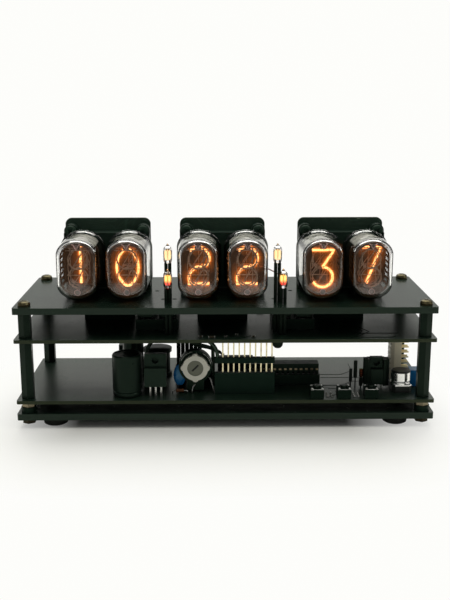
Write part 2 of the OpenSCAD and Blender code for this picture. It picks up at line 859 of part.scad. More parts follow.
module chips() {
    color("#222522") {
        on_main(main_chip_x, main_chip_y) chip(main_chip_pins);
        at_decoders() chip(decoder_pins);
    }
}

switch_x = deck_w/2 - 53.9; // axis of the left switch
switch_y = 3.5;         // axes of the switches, from the front edge
button_r = 1.75;
button_up = 1.1;
button_down = 2.6;

module at_switch(k) {
    on_main(switch_x + k*switch_pitch, switch_y) children();
}

// square body, sheet cover with clipped corners, four legs
module switch_bodies() {
    cover = 0.3;
    color("#1c201c") for (k = [0:2]) at_switch(k) difference() {
        union() {
            translate([-switch_w/2, -switch_w/2, 0.3]) cube([switch_w, switch_w, switch_h - 0.3]);
            translate([-switch_w/2 + 0.5, -switch_w/2 + 0.5, switch_h - 0.1])
                cube([switch_w - 1, switch_w - 1, cover + 0.1]);
            for (sx = [-1, 1], sy = [-1, 1]) translate([sx*(switch_w/2 - 0.9) - 0.35,
                sy*(switch_w/2 - 0.5) - 0.25, 0]) cube([0.7, 0.5, 0.5]);
        }
        translate([0, 0, switch_h - button_down - button_travel - 0.1])
            cylinder(r = button_r + seat, h = 10);
    }
}

module button(k) {
    rise = button_up + button_travel;
    color("#0f0f0f") at_switch(k) translate([0, 0, switch_h - button_down]) rotate_extrude()
        polygon([[0, 0], [button_r, 0], [button_r, button_down + rise - 0.2],
            [button_r - 0.2, button_down + rise], [0, button_down + rise]]);
}

sink_x = deck_w/2 - 24.2;
sink_y = 17;
sink_w = 8.4;
sink_h = 13;
sink_wall = 1.1;

// folded channel: a back web, two side walls and fins splayed outwards
module clip_heatsink() {
    color("#1a1d1a") on_main(sink_x, sink_y) translate([0, 0, 1.5]) linear_extrude(sink_h) {
        translate([-sink_w/2, 2.6]) square([sink_w, sink_wall]);
        for (s = [-1, 1]) {
            translate([s*(sink_w/2 - sink_wall/2) - sink_wall/2, -2]) square([sink_wall, 5]);
            for (k = [0:2]) translate([s*(sink_w/2 - 0.4), -1.4 + 2*k])
                rotate(s > 0 ? 20 - 8*k : 160 + 8*k) translate([0, -0.35]) square([2.1, 0.7]);
        }
    }
}

module clip_regulator() {
    color("#202320") on_main(sink_x, sink_y) translate([0, 0.3, 0])
        package(5.9, 4.4, 13, 2.2);
}

// surface-mount can: square base with clipped corners, waisted can, flat top
module can_capacitor() {
    r = 4.55;
    base = 9.2;
    color("#c9c9c4") on_main(deck_w/2 - 13.2, 13.8) {
        difference() {
            translate([-base/2, -base/2, 0]) cube([base, base, 3.8]);
            for (s = [-1, 1]) translate([s*base/2, -base/2, -1]) rotate(45)
                cube([2, 2, 10], center = true);
        }
        rotate_extrude() polygon([[0, 3], [r, 3], [r, 4.6], [r - 0.4, 5], [r, 5.4], [r, 9.6],
            [r - 0.5, 10.1], [0, 10.1]]);
    }
}

module film_capacitor() {
    color("#0c5f96") on_main(deck_w/2 - 4.6, 21) translate([-3.2, -3.3, 0.4]) difference() {
        cube([6.4, 6.6, 8]);
        translate([-1, -1, -1]) cube([2.2, 9, 1.5]);
        translate([5.2, -1, -1]) cube([2.2, 9, 1.5]);
    }
    color("#b0b0a8") on_main(deck_w/2 - 4.6, 21) for (s = [-1, 1]) translate([s*1.6, 0, 0])
        cylinder(r = 0.35, h = 0.5);
}

// tall nylon block between the boards with a comb of side contacts
module nylon_connector() {
    rows = 9;
    h = lower_gap - 0.4;
    color("#cfc6a6") on_main(deck_w/2 - 12.4, 34) {
        difference() {
            translate([-2.7, -3.5, 0]) cube([5.4, 7, h]);
            for (k = [0:rows - 1]) translate([-4, -3.8, 2.4 + k*pin_pitch]) cube([2, 7.6, 0.5]);
        }
        for (k = [0:rows - 1], y = [-1.4, 1.4]) translate([2.5, y - 0.32, 2.7 + k*pin_pitch])
            cube([4, 0.64, 0.64]);
    }
}

// small axial parts stood on end, and one lying by the trimmer
module upright_parts() {
    for (p = [[36.3, 17.5, 1.3, 3, 6.5, "#1d211d"], [34.1, 17.5, 1.5, 5, 8.5, "#2c3a2c"],
        [31.4, 17.5, 1.6, 5.4, 4.1, "#7c3a22"], [31.4, 17.5, 1.5, 1, 4.2, "#1d211d"]])
        color(p[5]) on_main(deck_w/2 - p[0], p[1]) {
        cylinder(r = 0.3, h = p[3] + 0.5);
        translate([0, 0, p[3]]) rotate_extrude() polygon([[0, 0], [p[2]*0.5, 0], [p[2]*0.6, 0.5],
            [p[2]*0.6, p[4] - 0.5], [p[2]*0.5, p[4]], [0, p[4]]]);
    }
}

wire_r = 0.9;

// insulated wire: under the driver board, round a quarter turn, straight down to the board
module link_wire(x, y, bend, dir, foot = 0) {
    on_main(x, y) {
        translate([0, 0, foot]) cylinder(r = wire_r, h = lower_gap - wire_r - bend - foot);
        translate([-dir*bend, 0, lower_gap - wire_r - bend]) rotate([90, 0, dir > 0 ? 0 : 180])
            rotate_extrude(angle = 90) translate([bend, 0]) circle(wire_r);
    }
}

module link_wires() {
    color("#101210") {
        link_wire(header_x - 5*pin_pitch, header_back - header_d/2, 8.2, 1, strip_z + strip_h);
        link_wire(-5.9, 22, 9, 1);
        link_wire(-38, 21, 12.5, -1);
    }
}

// barrel inlet at the back edge of the main board
module power_inlet() {
    w = 9;
    d = 14;
    h = 11;
    axis_h = 6.5;
    color("#141514") translate([-49.8, -front_y - d, main_top]) {
        difference() {
            union() {
                translate([-w/2, 0, 0.4]) cube([w, d, h - 0.4]);
                translate([-w/2 - 0.5, d - 3, 0.4]) cube([w + 1, 3, h - 0.4]);
            }
            translate([0, 0, axis_h]) bar_y(3.2, 3, d + 1);
        }
        translate([0, 0, axis_h]) bar_y(1, 2.5, d - 1);
        for (x = [-3, 0, 3]) translate([x - 0.5, 3 + abs(x), 0]) cube([1, 2, 0.6]);
    }
}

rubber_feet();
base_plate();
stack_nuts();
base_washers();
main_board();
lower_posts();
driver_board();
upper_posts();
top_plate();
top_screws();
module_board(0);  // module_board_1
module_board(1);  // module_board_2
module_board(2);  // module_board_3
socket_blocks();
socket_screws();
socket_nuts();
module_connectors();
tube_glass(0);  // tube_glass_1
tube_glass(1);  // tube_glass_2
tube_glass(2);  // tube_glass_3
tube_glass(3);  // tube_glass_4
tube_glass(4);  // tube_glass_5
tube_glass(5);  // tube_glass_6
numerals(0);  // numerals_1
numerals(1);  // numerals_2
numerals(2);  // numerals_3
numerals(3);  // numerals_4
numerals(4);  // numerals_5
numerals(5);  // numerals_6
tube_stems();
tube_pins();
anode_cups();
anode_meshes();
stack_rods();
stack_spacers();
colon_lamps();
colon_electrodes();
colon_sleeves();
filter_capacitor();
reservoir_capacitor();
power_regulator();
disc_capacitor();
trimmer_body();
trimmer_rotor();
header_socket();
header_pins();
chip_sockets();
chips();
switch_bodies();
button(0);  // button_1
button(1);  // button_2
button(2);  // button_3
clip_heatsink();
clip_regulator();
can_capacitor();
film_capacitor();
nylon_connector();
upright_parts();
link_wires();
power_inlet();
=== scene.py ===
"""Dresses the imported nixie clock: finishes for its solids, the glass and glow of its tubes,
board traces, solder and small parts, and a pale studio round it. Lengths here are in mm."""
import json
import math

import bpy
import numpy as np
from mathutils import Matrix, Vector


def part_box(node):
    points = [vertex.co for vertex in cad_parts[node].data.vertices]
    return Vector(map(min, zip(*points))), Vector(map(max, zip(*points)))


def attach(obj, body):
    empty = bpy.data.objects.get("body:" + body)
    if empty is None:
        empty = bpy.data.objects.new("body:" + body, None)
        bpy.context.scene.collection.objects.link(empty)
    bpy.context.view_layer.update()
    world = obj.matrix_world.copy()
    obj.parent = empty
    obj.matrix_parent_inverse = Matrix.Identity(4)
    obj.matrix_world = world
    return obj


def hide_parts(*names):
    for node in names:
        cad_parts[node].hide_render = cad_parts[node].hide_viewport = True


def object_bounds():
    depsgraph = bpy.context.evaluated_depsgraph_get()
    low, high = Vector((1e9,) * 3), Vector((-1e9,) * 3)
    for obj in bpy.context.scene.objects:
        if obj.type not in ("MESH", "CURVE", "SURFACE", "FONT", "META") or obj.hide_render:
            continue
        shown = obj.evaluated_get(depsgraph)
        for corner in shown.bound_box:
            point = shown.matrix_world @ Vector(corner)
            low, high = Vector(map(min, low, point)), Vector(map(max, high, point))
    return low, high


bl_info = {
    "name": "Nixie clock finishes",
    "version": (1, 0, 0),
    "blender": (4, 5, 0),
    "location": "3D View > Sidebar > Nixie",
    "description": "Dresses the nixie clock's solids and sets a pale studio round them",
    "category": "Object",
}

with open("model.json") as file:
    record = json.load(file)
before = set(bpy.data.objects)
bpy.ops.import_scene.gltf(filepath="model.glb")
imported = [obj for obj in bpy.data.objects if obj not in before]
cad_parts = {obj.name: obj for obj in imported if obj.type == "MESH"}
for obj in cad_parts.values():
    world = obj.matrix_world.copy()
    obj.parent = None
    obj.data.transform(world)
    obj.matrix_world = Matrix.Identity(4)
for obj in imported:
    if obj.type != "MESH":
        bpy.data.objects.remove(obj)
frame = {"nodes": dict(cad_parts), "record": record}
NODES = frame["nodes"]
CAD_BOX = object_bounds()
ROOT = "clock"
MM = 0.001


def span(node):
    """Lowest and highest corner of a CAD node in mm, as two arrays."""
    low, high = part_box(node)
    return np.array(low) / MM, np.array(high) / MM


def middle(node):
    """Middle of a CAD node in mm."""
    low, high = span(node)
    return (low + high) / 2


def tube_axis(number):
    """Where a tube's axis leaves its socket, in mm."""
    x, _, z = middle("tube_glass_%d" % number)
    return np.array([x, span("tube_glass_%d" % number)[1][1], z])


# sizes in mm that several pieces share
TUBES = range(1, 7)
PIN_PITCH = 2.54
SWITCH_PITCH = 12.5
STACK_PITCH = 1.15
STACK_ORDER = "3894057261"  # the numerals of a stack, front to back
ENVELOPE_W, ENVELOPE_H, ENVELOPE_CAP, ENVELOPE_LENGTH = 9.4, 14.0, 7.4, 25.0


# ---------- settings ----------

def tone(name, description, default):
    """A colour that the user may change."""
    return bpy.props.FloatVectorProperty(name=name, description=description, subtype="COLOR",
                                         size=3, min=0, max=1, default=default)


def amount(name, description, default, low, high):
    """A number that the user may change."""
    return bpy.props.FloatProperty(name=name, description=description, default=default,
                                   min=low, max=high)


class DigitSettings(bpy.types.PropertyGroup):
    """What the tubes show and how their numerals glow."""
    shown: bpy.props.StringProperty(
        name="Time", description="The six numerals that are lit, left to right",
        default="102237", maxlen=6)
    core: tone("Core", "Colour of the numeral's wire where it glows", (1.0, 0.48, 0.17))
    halo: tone("Halo", "Colour of the gas round a glowing wire", (1.0, 0.22, 0.025))
    core_radius: amount("Core radius", "Radius of the glowing core, in mm", 0.55, 0.2, 0.8)
    spread: amount("Spread", "Size of the shells of gas glow round the core", 1.0, 0.5, 1.2)
    strength: amount("Strength", "Emission strength of the core", 3.2, 0, 20)


class FinishSettings(bpy.types.PropertyGroup):
    """Colours of the decks and the coloured parts."""
    acrylic: tone("Acrylic", "Colour of the top and base plates", (0.009, 0.0185, 0.0125))
    lacquer: tone("Board lacquer", "Colour of the circuit boards' faces",
                  (0.0095, 0.0195, 0.013))
    laminate: tone("Board edge", "Colour of the bare glass fibre at the boards' edges",
                   (0.018, 0.024, 0.01))
    cream: tone("Cream nylon", "Colour of the nylon connector", (0.82, 0.75, 0.56))
    blue: tone("Blue coating", "Colour of the dipped capacitors", (0.004, 0.085, 0.24))


class StudioSettings(bpy.types.PropertyGroup):
    """The stage, the lamps and the camera."""
    floor: tone("Floor", "Colour of the floor", (0.94, 0.94, 0.91))
    key: amount("Key lamp", "Power that the three lamps are set from, in watts", 5.9, 0, 100)
    fill: amount("Sky", "Strength of the soft light from all round", 0.25, 0, 4)
    reach: amount("Shadow reach", "Distance from the clock at which the floor is white, mm",
                  74, 10, 500)
    eye: bpy.props.FloatVectorProperty(
        name="Camera", description="Place of the camera", subtype="TRANSLATION",
        unit="LENGTH", size=3, default=(-0.004284, -0.435175, 0.15509))
    lens: bpy.props.FloatProperty(
        name="Lens", description="Focal length, for a sensor 36 mm high", default=55.27)


# ---------- shader writing ----------

def math_method(kind, turned=False):
    """A method that adds one Math node; turned puts the other value first."""
    def method(self, other=None):
        pair = (other, self) if turned else (self, other)
        values = {i: value for i, value in enumerate(pair) if value is not None}
        return Val(self.nodes, self.nodes.node("Math", {"operation": kind}, values))
    return method


class Val:
    """A shader value with arithmetic: each operator adds one Math node."""

    def __init__(self, nodes, socket):
        self.nodes, self.socket = nodes, socket

    __add__ = __radd__ = math_method("ADD")
    __mul__ = __rmul__ = math_method("MULTIPLY")
    __sub__, __rsub__ = math_method("SUBTRACT"), math_method("SUBTRACT", turned=True)
    __truediv__, __pow__ = math_method("DIVIDE"), math_method("POWER")
    __gt__, __lt__ = math_method("GREATER_THAN"), math_method("LESS_THAN")
    abs, frac, most = math_method("ABSOLUTE"), math_method("FRACT"), math_method("MAXIMUM")

    def step(self, low, high):
        """0 below low, 1 above high, straight between them."""
        return Val(self.nodes, self.nodes.node("MapRange", {"clamp": True}, {
            "Value": self.socket, "From Min": low, "From Max": high}))


class Nodes:
    """Writes the nodes of one tree, a material's or the sky's."""

    def __init__(self, tree):
        self.tree = tree

    def node(self, kind, settings=None, values=None, out=0):
        """Adds a node, sets its settings, then sets or links its sockets; gives an output."""
        made = self.tree.nodes.new("ShaderNode" + kind)
        for key, value in (settings or {}).items():
            setattr(made, key, value)
        for key, value in (values or {}).items():
            if isinstance(value, Val):
                value = value.socket
            if isinstance(value, bpy.types.NodeSocket):
                self.tree.links.new(value, made.inputs[key])
            else:
                made.inputs[key].default_value = value
        return made.outputs[out]

    def ray(self, name):
        """What the light path says of the ray, such as its depth."""
        return Val(self, self.node("LightPath", out=name))

    def direct(self):
        """1 for rays from the camera and for those that only passed through glass."""
        straight = (self.ray("Glossy Depth") + self.ray("Diffuse Depth")) < 0.5
        return self.ray("Is Camera Ray").most(self.ray("Is Transmission Ray") * straight)


class Finish(Nodes):
    """One material: a Principled shader and the nodes that vary it in object space."""

    def __init__(self, name, colour, rough, metal=0.0, ior=1.5):
        self.mat = bpy.data.materials.new(name)
        self.mat.use_nodes = True
        super().__init__(self.mat.node_tree)
        self.bsdf = self.tree.nodes["Principled BSDF"]
        self.mat.diffuse_color = tuple(colour) + (1.0,)
        for key, value in (("Base Color", tuple(colour) + (1.0,)), ("Roughness", rough),
                           ("Metallic", metal), ("IOR", ior)):
            self.bsdf.inputs[key].default_value = value

    def place(self, scale=(1, 1, 1)):
        """Object coordinates in mm, stretched by scale."""
        coords = self.node("TexCoord", out="Object")
        return self.node("Mapping", {}, {0: coords, "Scale": [1000 * s for s in scale]})

    def axis(self, letter):
        """One object coordinate in mm."""
        return Val(self, self.node("SeparateXYZ", {}, {0: self.place()}, out=letter))

    def facing(self, letter):
        """How squarely the surface faces along an axis, from 0 to 1."""
        normal = self.node("TexCoord", out="Normal")
        return Val(self, self.node("SeparateXYZ", {}, {0: normal}, out=letter)).abs()

    def noise(self, size, detail=2.0, stretch=(1, 1, 1), rough=0.5):
        """Smooth noise with features of about size mm."""
        return Val(self, self.node("TexNoise", {}, {
            "Vector": self.place(stretch), "Scale": 1.0 / size, "Detail": detail,
            "Roughness": rough}))

    def grains(self, size):
        """Distance to the nearest of many scattered points, size mm apart."""
        return Val(self, self.node("TexVoronoi", {}, {
            "Vector": self.place(), "Scale": 1.0 / size}))

    def mix(self, mask, a, b):
        """Colour a where mask is 0, b where it is 1."""
        full = [tuple(c) + (1.0,) if isinstance(c, (tuple, list)) else c for c in (a, b)]
        return self.node("Mix", {"data_type": "RGBA"}, {0: mask, 6: full[0], 7: full[1]}, out=2)

    def to(self, key, value):
        """Feeds a value or colour into one of the shader's varying sockets."""
        socket = value.socket if isinstance(value, Val) else value
        self.tree.links.new(socket, self.bsdf.inputs[key])

    def bump(self, height, depth):
        """Raises the surface by height times depth mm."""
        self.to("Normal", self.node("Bump", {}, {
            "Height": height, "Distance": depth * MM, "Strength": 1.0}))

    def fixed(self, **sockets):
        """Sets constants, such as Transmission_Weight=1."""
        for key, value in sockets.items():
            self.bsdf.inputs[key.replace("_", " ")].default_value = value
        return self


def shade(colour, factor):
    """A darker or lighter colour."""
    return tuple(min(1.0, c * factor) for c in colour)


# the tint of highlights on black plastic and paint, and colours that several pieces share
GREENISH = (0.66, 1.0, 0.74, 1.0)
BLACK = (0.005, 0.0125, 0.008)
EPOXY = (0.008, 0.0145, 0.0105)
ENAMEL = (0.004, 0.007, 0.005)
SILVER = (0.55, 0.55, 0.52)


def acrylic(name, colour):
    """Cast sheet: mirror-flat faces with hazy wipes, fine dust and duller sawn edges."""
    f = Finish(name, colour, 0.12).fixed(Specular_IOR_Level=0.26, Specular_Tint=(0.9, 1, 0.86, 1))
    haze = f.noise(18, 4)
    dust = f.grains(2.6).step(0.16, 0.05) * f.noise(7, 1).step(0.5, 0.7)
    edge = f.facing("Z").step(0.7, 0.3)
    f.to("Base Color", f.mix(dust * 0.12, f.mix(edge * 0.4, colour, shade(colour, 1.4)),
                             (0.2, 0.2, 0.19)))
    f.to("Roughness", 0.14 + haze * 0.12 + edge * 0.22 + dust * 0.3)
    f.bump(f.noise(0.35, 2, (0.15, 1, 1)) * edge + f.noise(30, 1) * 0.4, 0.02)
    return f.mat


def board(name, lacquer, laminate, up="Z", pitch=PIN_PITCH):
    """Lacquered board: raised copper tracks under the lacquer, weave, bare olive edges. The
    lacquered faces look along the axis named up."""
    f = Finish(name, lacquer, 0.3).fixed(Specular_IOR_Level=0.32, Specular_Tint=(0.88, 1, 0.86, 1))
    face = f.facing(up).step(0.4, 0.6)
    x, y = f.axis("X"), f.axis("Y" if up == "Z" else "Z")
    bend = f.noise(16, 0).step(0.35, 0.65) * 9
    tracks = ((((x + bend) / pitch).frac() - 0.5).abs() < 0.09) * (f.noise(11, 0) > 0.53)
    across = ((((y + bend) / pitch).frac() - 0.5).abs() < 0.09) * (f.noise(13, 0) > 0.57)
    copper = tracks.most(across)
    weave = f.noise(0.5, 1, (1, 4, 1))
    edge_tone = f.mix(f.noise(1.1, 3, (0.2, 1, 4)), shade(laminate, 0.6), shade(laminate, 1.5))
    f.to("Base Color", f.mix(face, edge_tone, f.mix(copper * 0.6, lacquer, shade(lacquer, 2.0))))
    f.to("Roughness", 0.62 - face * 0.36 + f.noise(9, 3) * 0.08 + copper * 0.06)
    f.bump(copper * 0.6 + weave * 0.15, 0.02)
    return f.mat


def moulding(name, colour, rough=0.42, grain=0.35, depth=0.02, wear=0.25, gleam=0.14):
    """Moulded plastic: spark-eroded grain, flow haze and paler rubbed patches."""
    f = Finish(name, colour, rough).fixed(Specular_IOR_Level=gleam, Specular_Tint=GREENISH)
    cloud = f.noise(5, 3)
    f.to("Base Color", f.mix(cloud.step(0.45, 0.8) * wear, colour, shade(colour, 1.7)))
    f.to("Roughness", rough - 0.08 + cloud * 0.16)
    f.bump(f.noise(grain, 3) + f.grains(grain * 2.2) * 0.4, depth)
    return f.mat


def legged(name, colour, metal, legs, rough=0.4, gleam=0.14):
    """Moulded body with bare metal legs: legs(f) gives the mask that is 1 on the metal."""
    f = Finish(name, colour, rough).fixed(Specular_IOR_Level=gleam, Specular_Tint=GREENISH)
    mask = legs(f)
    cloud = f.noise(3, 3)
    f.to("Base Color", f.mix(mask, f.mix(cloud * 0.4, colour, shade(colour, 1.6)),
                             f.mix(cloud, shade(metal, 0.7), metal)))
    f.to("Metallic", mask * 0.9)
    f.to("Roughness", rough - 0.1 + cloud * 0.2 - mask * 0.12)
    f.bump(f.noise(0.3, 3), 0.015)
    return f.mat


def lathe_metal(name, colour, rough=0.3, stretch=(1, 1, 9), stain=(0.1, 0.08, 0.05)):
    """Turned or drawn metal: fine lines along the tool's path and dull stains."""
    f = Finish(name, colour, rough, metal=1.0)
    lines = f.noise(1.4, 3, stretch)
    spots = f.noise(2.2, 4).step(0.52, 0.75)
    f.to("Base Color", f.mix(spots * 0.55, f.mix(lines, shade(colour, 0.75), shade(colour, 1.15)),
                             stain))
    f.to("Roughness", rough - 0.06 + lines * 0.14 + spots * 0.2)
    f.bump(lines, 0.012)
    return f.mat


def sheet_with_painted_glow(name):
    """Dark nickel of the anode cups, with a faint orange emission painted on as the numerals'
    light falling on them.
    """
    f = Finish(name, (0.03, 0.022, 0.017), 0.5, metal=1.0)
    cloud = f.noise(6, 2)
    f.to("Base Color", f.mix(cloud, (0.02, 0.015, 0.012), (0.04, 0.03, 0.024)))
    f.to("Roughness", 0.45 + f.noise(1.2, 3, (1, 6, 1)) * 0.2)
    # painted light: the orange emission stands in for the numerals' light on the cups
    f.to("Emission Color", f.mix(cloud, (0.55, 0.24, 0.08), (1.0, 0.42, 0.14)))
    f.fixed(Emission_Strength=0.032)
    f.bump(f.noise(1.2, 3, (1, 6, 1)), 0.012)
    return f.mat


def brass_with_painted_shade_below(name):
    """Brass nuts of the stack: painted near black under the base plate as the shade there, brass
    above it.
    """
    plate = 6
    f = Finish(name, (0.4, 0.3, 0.16), 0.36, metal=1.0)
    # painted shade: below the base plate's top the brass is painted near black, as the shade under
    # the plate
    low = f.axis("Z").step(plate + 0.5, plate - 0.5)
    lines = f.noise(1.4, 3, (1, 1, 9))
    f.to("Base Color", f.mix(low, f.mix(lines, (0.16, 0.135, 0.085), (0.28, 0.245, 0.17)),
                             (0.03, 0.026, 0.016)))
    f.to("Roughness", 0.3 + lines * 0.16)
    f.bump(lines, 0.012)
    return f.mat


def surface_can(name):
    """Surface-mount can: black foot, bright drawn side, dark top."""
    foot, rim = 16.8, 22.9
    f = Finish(name, (0.8, 0.8, 0.78), 0.2)
    side = (f.axis("Z") > foot) * (f.axis("Z") < rim)
    lines = f.noise(1.2, 3, (1, 1, 12))
    f.to("Metallic", side)
    f.to("Base Color", f.mix(side, f.mix(f.noise(2, 3), (0.006, 0.009, 0.007),
                                         (0.016, 0.02, 0.017)),
                             f.mix(lines, (0.7, 0.7, 0.69), (0.9, 0.9, 0.89))))
    f.to("Roughness", 0.4 - side * 0.22 + lines * 0.06)
    f.bump(lines, 0.01)
    return f.mat


def trimmer_disc(name, cream, centre):
    """Cream disc with fine rings on the olive-grey circle round its axis, and a slot painted near
    black as the shade in its groove.
    """
    radius, slot_width, slot_length = 3.75, 0.62, 2.9
    f = Finish(name, cream, 0.4)
    dx, dz = f.axis("X") - centre[0], f.axis("Z") - centre[1]
    far = dx * dx + dz * dz
    inside = far < radius ** 2
    line = ((far ** 0.5 * 5).frac() - 0.5).abs().step(0.2, 0.0) * 0.35
    grey = f.mix(line, (0.14, 0.148, 0.105), (0.075, 0.08, 0.056))
    # painted shade: the slot is painted near black for the shade in its groove
    shaded_slot = ((dx - dz).abs() < slot_width) * ((dx + dz).abs() < slot_length)
    f.to("Base Color", f.mix(inside, f.mix(f.noise(2, 3), shade(cream, 0.82), cream),
                             f.mix(shaded_slot, grey, (0.006, 0.007, 0.005))))
    f.to("Roughness", 0.36 + f.noise(1.5, 3) * 0.18)
    f.bump(f.noise(0.3, 2) + line * inside, 0.015)
    return f.mat


def nylon_with_painted_shade(name, cream, edge):
    """Natural nylon with painted shade on the left of its body; the contacts on its right are
    gold.
    """
    f = Finish(name, cream, 0.42)
    x = f.axis("X")
    pins = x > edge
    # painted shade: the left part of the body is painted darker, as the shade that falls on that
    # side
    left = x.step(edge - 3.2, edge - 3.6)
    cloud = f.noise(4, 3)
    body = f.mix(cloud, shade(cream, 0.8), cream)
    f.to("Base Color", f.mix(pins, f.mix(left, body, shade(cream, 0.6)), (0.95, 0.78, 0.42)))
    f.to("Metallic", pins * 0.9)
    f.to("Roughness", 0.36 + cloud * 0.14 - pins * 0.1)
    f.bump(f.noise(0.5, 3), 0.015)
    return f.mat


def satin_paint(name, colour, rough=0.34):
    """Satin black coating over turned posts, chipped to metal here and there."""
    f = Finish(name, colour, rough).fixed(Specular_IOR_Level=0.13, Specular_Tint=GREENISH)
    chips = f.grains(3.1).step(0.1, 0.05) * f.noise(6, 1).step(0.6, 0.75)
    f.to("Base Color", f.mix(chips * 0.4, f.mix(f.noise(3, 3), shade(colour, 0.7),
                                                shade(colour, 1.4)), (0.16, 0.14, 0.09)))
    f.to("Roughness", rough - 0.05 + f.noise(2, 3) * 0.15)
    f.bump(f.noise(0.25, 2), 0.012)
    return f.mat


def rubber(name, colour):
    """Moulded rubber: mottled and greyed by dust."""
    f = Finish(name, colour, 0.75).fixed(Specular_IOR_Level=0.25)
    f.to("Base Color", f.mix(f.noise(3, 4).step(0.4, 0.8) * 0.5, colour, (0.03, 0.03, 0.027)))
    f.to("Roughness", 0.68 + f.noise(2, 2) * 0.2)
    f.bump(f.noise(0.3, 3), 0.04)
    return f.mat


def clear_glass(name):
    """Blown glass: faint ripples, clear inside."""
    f = Finish(name, (1, 1, 1), 0.02, ior=1.47).fixed(Transmission_Weight=1.0)
    f.to("Roughness", 0.008 + f.noise(6, 2).step(0.5, 0.9) * 0.05)
    f.bump(f.noise(7, 1) + f.noise(2.5, 2) * 0.12, 0.12)
    return f.mat


def glow(name, colour, strength, alpha=1.0, grain=2.5, dip=0.85, foot=None):
    """Light from a wire or from the gas round it: uneven, in patches of about grain mm that
    sink to dip of the full strength. foot is a colour and two heights in mm: the light has
    that colour up to the first height and its own colour above the second."""
    f = Finish(name, (0.02, 0.01, 0.005), 0.6)
    flicker = f.noise(grain, 2)
    light = f.mix(flicker.step(0.35, 0.6), shade(colour, dip), colour)
    if foot:
        light = f.mix(f.axis("Z").step(foot[1], foot[2]), foot[0], light)
    f.to("Emission Color", light)
    f.fixed(Emission_Strength=strength)
    if alpha < 1:
        f.to("Alpha", alpha * (0.8 + flicker * 0.4))
    return f.mat


def solder():
    """Dull tin, one finish for every joint, chip end and bare lead."""
    return bpy.data.materials.get("solder") or lathe_metal("solder", (0.5, 0.5, 0.48), 0.26)


# ---------- surfaces ----------

def new_object(name, points, faces, material, smooth=True):
    """Puts vertices in mm and faces into an object at the origin."""
    mesh = bpy.data.meshes.new(name)
    mesh.from_pydata((np.asarray(points, float) * MM).tolist(), [], [list(f) for f in faces])
    mesh.polygons.foreach_set("use_smooth", np.full(len(mesh.polygons), smooth))
    mesh.materials.append(material)
    mesh.update()
    made = bpy.data.objects.new(name, mesh)
    bpy.context.scene.collection.objects.link(made)
    return made


def make_piece(name, points, faces, material, body=ROOT, smooth=True):
    """A new object that rides on one of the clock's bodies."""
    made = new_object(name, points, faces, material, smooth)
    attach(made, body)
    return made


def join(*parts):
    """One (points, faces) from several."""
    points, faces, start = [], [], 0
    for p, f in parts:
        points.append(np.asarray(p, float))
        faces.extend((np.asarray(q) + start).tolist() for q in f)
        start += len(p)
    return np.concatenate(points), faces


def grid_faces(rows, cols, wrap=True):
    """Quads of a rows by cols grid whose columns close into a ring when wrap is on."""
    r, c = np.meshgrid(np.arange(rows - 1), np.arange(cols if wrap else cols - 1), indexing="ij")
    n = (c + 1) % cols
    return np.stack([r * cols + c, r * cols + n, (r + 1) * cols + n, (r + 1) * cols + c],
                    -1).reshape(-1, 4).tolist()


def loft(rings):
    """Closed body through rings of equal point count; each end is closed by one face. The
    faces are turned outwards: the sum of their tetrahedra's signed volumes is positive."""
    rings = np.asarray(rings, float)
    rows, cols = rings.shape[:2]
    faces = grid_faces(rows, cols)
    faces.append(list(range(cols))[::-1])
    faces.append([(rows - 1) * cols + c for c in range(cols)])
    points = rings.reshape(-1, 3)
    quads = np.array(faces[:-2])
    p = points[quads] - points.mean(0)
    ends = [points[f] - points.mean(0) for f in faces[-2:]]
    fans = [np.stack([np.broadcast_to(e[0], e[2:].shape), e[1:-1], e[2:]], 1) for e in ends]
    tris = np.concatenate([p[:, [0, 1, 2]], p[:, [0, 2, 3]], *fans])
    if np.einsum("ij,ij->", tris[:, 0], np.cross(tris[:, 1], tris[:, 2])) < 0:
        faces = [f[::-1] for f in faces]
    return points, faces


def sweep(path, radius, sides=10):
    """Round bar along a path. At each point a circle of that radius lies in the plane square
    to the path, carried along without twist. radius is one value or one per point."""
    path = np.asarray(path, float)
    t = np.gradient(path, axis=0)
    t /= np.linalg.norm(t, axis=1)[:, None] + 1e-12
    ref = np.array([0.0, 1.0, 0.0]) if np.abs(t[:, 1]).max() < 0.9 else np.array([1.0, 0.0, 0.0])
    if np.abs(t @ ref).max() > 0.95:
        ref = np.array([0.0, 0.0, 1.0])
    u = ref - (t @ ref)[:, None] * t
    u /= np.linalg.norm(u, axis=1)[:, None] + 1e-12
    v = np.cross(t, u)
    a = np.arange(sides) * 2 * math.pi / sides
    r = np.broadcast_to(np.asarray(radius, float), (len(path),))[:, None, None]
    rings = path[:, None] + r * (np.cos(a)[:, None] * u[:, None] - np.sin(a)[:, None] * v[:, None])
    return loft(rings)


def turn(profile, centre, sides=40, axis="Z"):
    """Surface of revolution: (radius, height) pairs turned about an axis through centre."""
    profile = np.asarray(profile, float)
    a = np.arange(sides) * 2 * math.pi / sides
    x, y = profile[:, :1] * np.cos(a), profile[:, :1] * np.sin(a)
    z = np.broadcast_to(profile[:, 1:], x.shape)
    rings = np.stack([x, y, z], -1)
    if axis == "Y":
        rings = rings[..., [0, 2, 1]]
    if axis == "X":
        rings = rings[..., [2, 0, 1]]
    return loft(rings[::-1] + np.asarray(centre, float))


